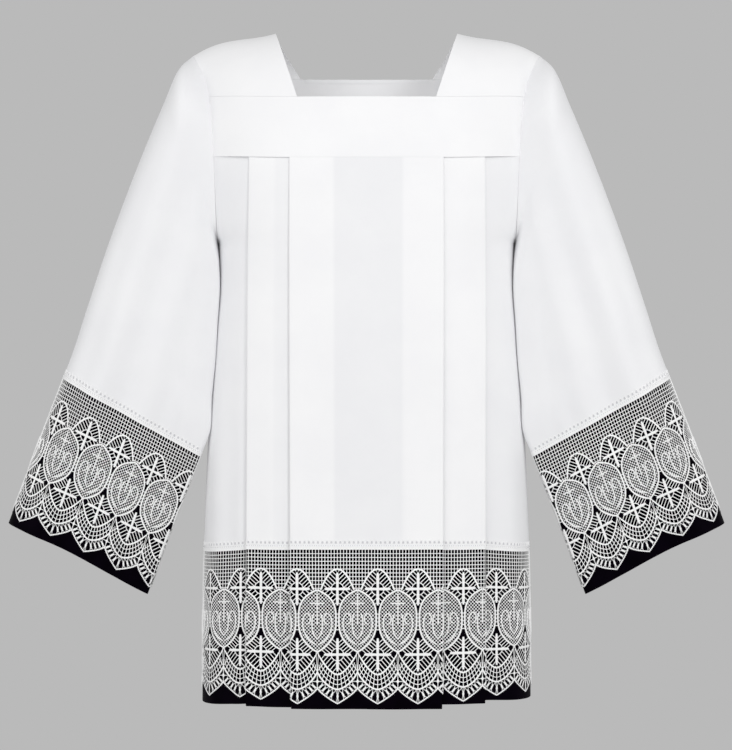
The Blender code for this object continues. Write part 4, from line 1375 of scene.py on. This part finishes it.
def build_sleeve(tag, flip, way, whole):
    """Cloth, header tape, lace and lining of one sleeve, from the right sleeve's sheet."""
    lace_row = SLEEVE_ROWS + TAPE_ROWS
    whole = mirrored(whole, flip)
    cloth = sheet_part(whole, 0, lace_row)
    # the sleeve's cloth takes the darker painted shade of a single layer
    piece = add_wall("sleeve_cloth_" + tag, cloth, CLOTH, closed=True, outward=way,
                     backing_shade=np.zeros(cloth.points[:, :-1, 0].shape))
    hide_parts("sleeve_" + tag)
    tape = sheet_part(whole, SLEEVE_ROWS, lace_row)
    header = add_header("sleeve_" + tag, tape, True, way)
    band = sheet_part(whole, lace_row, lace_row + BAND_ROWS)
    lace = lace_band(band, SLEEVE_OVAL, width_of(whole) / SLEEVE_REPEATS, SLEEVE_LACE_TRIM)
    under = sheet_part(whole, lace_row, lace_row + BAND_ROWS + 1)
    add_band("sleeve_" + tag, band, lace, under, True, way)


def build_strap(tag, flip, way, strap):
    """One shoulder strap."""
    strap = mirrored(strap, flip)
    piece = add_wall("shoulder_cloth_" + tag, strap, CLOTH, outward=way,
                     backing_shade=np.ones(strap.points.shape[:2]))
    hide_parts("shoulder_" + tag)


# ---------------------------------------------------------------- stage
EYE_DISTANCE = 3.1
EYE_HEIGHT = -0.430
LENS = 114.5
FLOOR_HEIGHT = -1.45
FLOOR_RADIUS = 3.2
FLOOR_SIDES = 96
BACKGROUND = 0.491
CHEST = (0.0, 0.0, -0.40)  # what the lights in front are turned to

# One row for each light: its place, the point it is turned to, its size and its power. The
# last is a small one inside the neck.
Light = namedtuple("Light", "name place aim size power")
LIGHTS = (
    Light("key", (1.45, -2.9, 0.85), CHEST, 0.9, 32.0),
    Light("fill", (-1.45, -2.9, 0.55), CHEST, 2.0, 21.0),
    Light("left_side", (-2.5, -1.3, -0.2), CHEST, 1.6, 11.5),
    Light("right_side", (2.5, -1.3, -0.2), CHEST, 1.6, 10.0),
    Light("inside", (0.035, -0.062, -0.135), (0.035, 0.10, -0.055), 0.08, 0.075),
)


def add_light(row):
    """A square soft light for one row of LIGHTS, hidden from the camera."""
    light = bpy.data.lights.new(row.name, "AREA")
    light.shape = "SQUARE"
    light.size = row.size
    light.energy = row.power
    holder = bpy.data.objects.new(row.name, light)
    holder.location = row.place
    holder.rotation_euler = (Vector(row.aim) - Vector(row.place)).to_track_quat("-Z", "Y").to_euler()
    holder.visible_camera = False
    bpy.context.scene.collection.objects.link(holder)


def build_stage():
    """Camera, lights, plain surroundings and a pale round floor at the wearer's feet."""
    scene = bpy.context.scene
    camera_data = bpy.data.cameras.new("camera")
    camera_data.lens = LENS
    camera = bpy.data.objects.new("camera", camera_data)
    camera.location = (-0.0007, -EYE_DISTANCE, EYE_HEIGHT)
    camera.rotation_euler = (np.pi / 2, 0.0, 0.0)
    scene.collection.objects.link(camera)
    scene.camera = camera
    scene.view_settings.view_transform = "Standard"
    world = bpy.data.worlds.new("surroundings")
    world.use_nodes = True
    world.node_tree.nodes["Background"].inputs["Color"].default_value = (*[BACKGROUND] * 3, 1.0)
    scene.world = world
    for row in LIGHTS:
        add_light(row)
    angle = np.linspace(0.0, 2.0 * np.pi, FLOOR_SIDES + 1)[:-1]
    rim = np.stack([FLOOR_RADIUS * np.cos(angle), FLOOR_RADIUS * np.sin(angle),
                    np.full(FLOOR_SIDES, FLOOR_HEIGHT)], axis=-1)
    mesh = bpy.data.meshes.new("floor")
    mesh.from_pydata(rim.tolist(), [], [list(range(len(rim)))])
    material, tree, shader = new_material("pale_floor")
    shade = colour_ramp(tree, noise(tree, 3.0, 2.0), (0.50, 0.50, 0.50), (0.52, 0.52, 0.52))
    fill_inputs(tree, shader, {"Base Color": shade, "Roughness": 0.9})
    mesh.materials.append(material)
    floor = bpy.data.objects.new("floor", mesh)
    scene.collection.objects.link(floor)


build_stage()
build_body(-1, "front", YOKE_TOP_FRONT, YOKE_SEAM_FRONT, NECK_FRONT_HALF)
build_body(1, "back", YOKE_TOP_BACK, YOKE_SEAM_BACK, NECK_BACK_HALF)
STRAP = strap_sheet()
SLEEVE = sleeve_sheet()
for side_tag, side_flip, side_way in (("left", MIRROR, -1), ("right", 1.0, 1)):
    build_strap(side_tag, side_flip, side_way, STRAP)
    build_sleeve(side_tag, side_flip, side_way, SLEEVE)
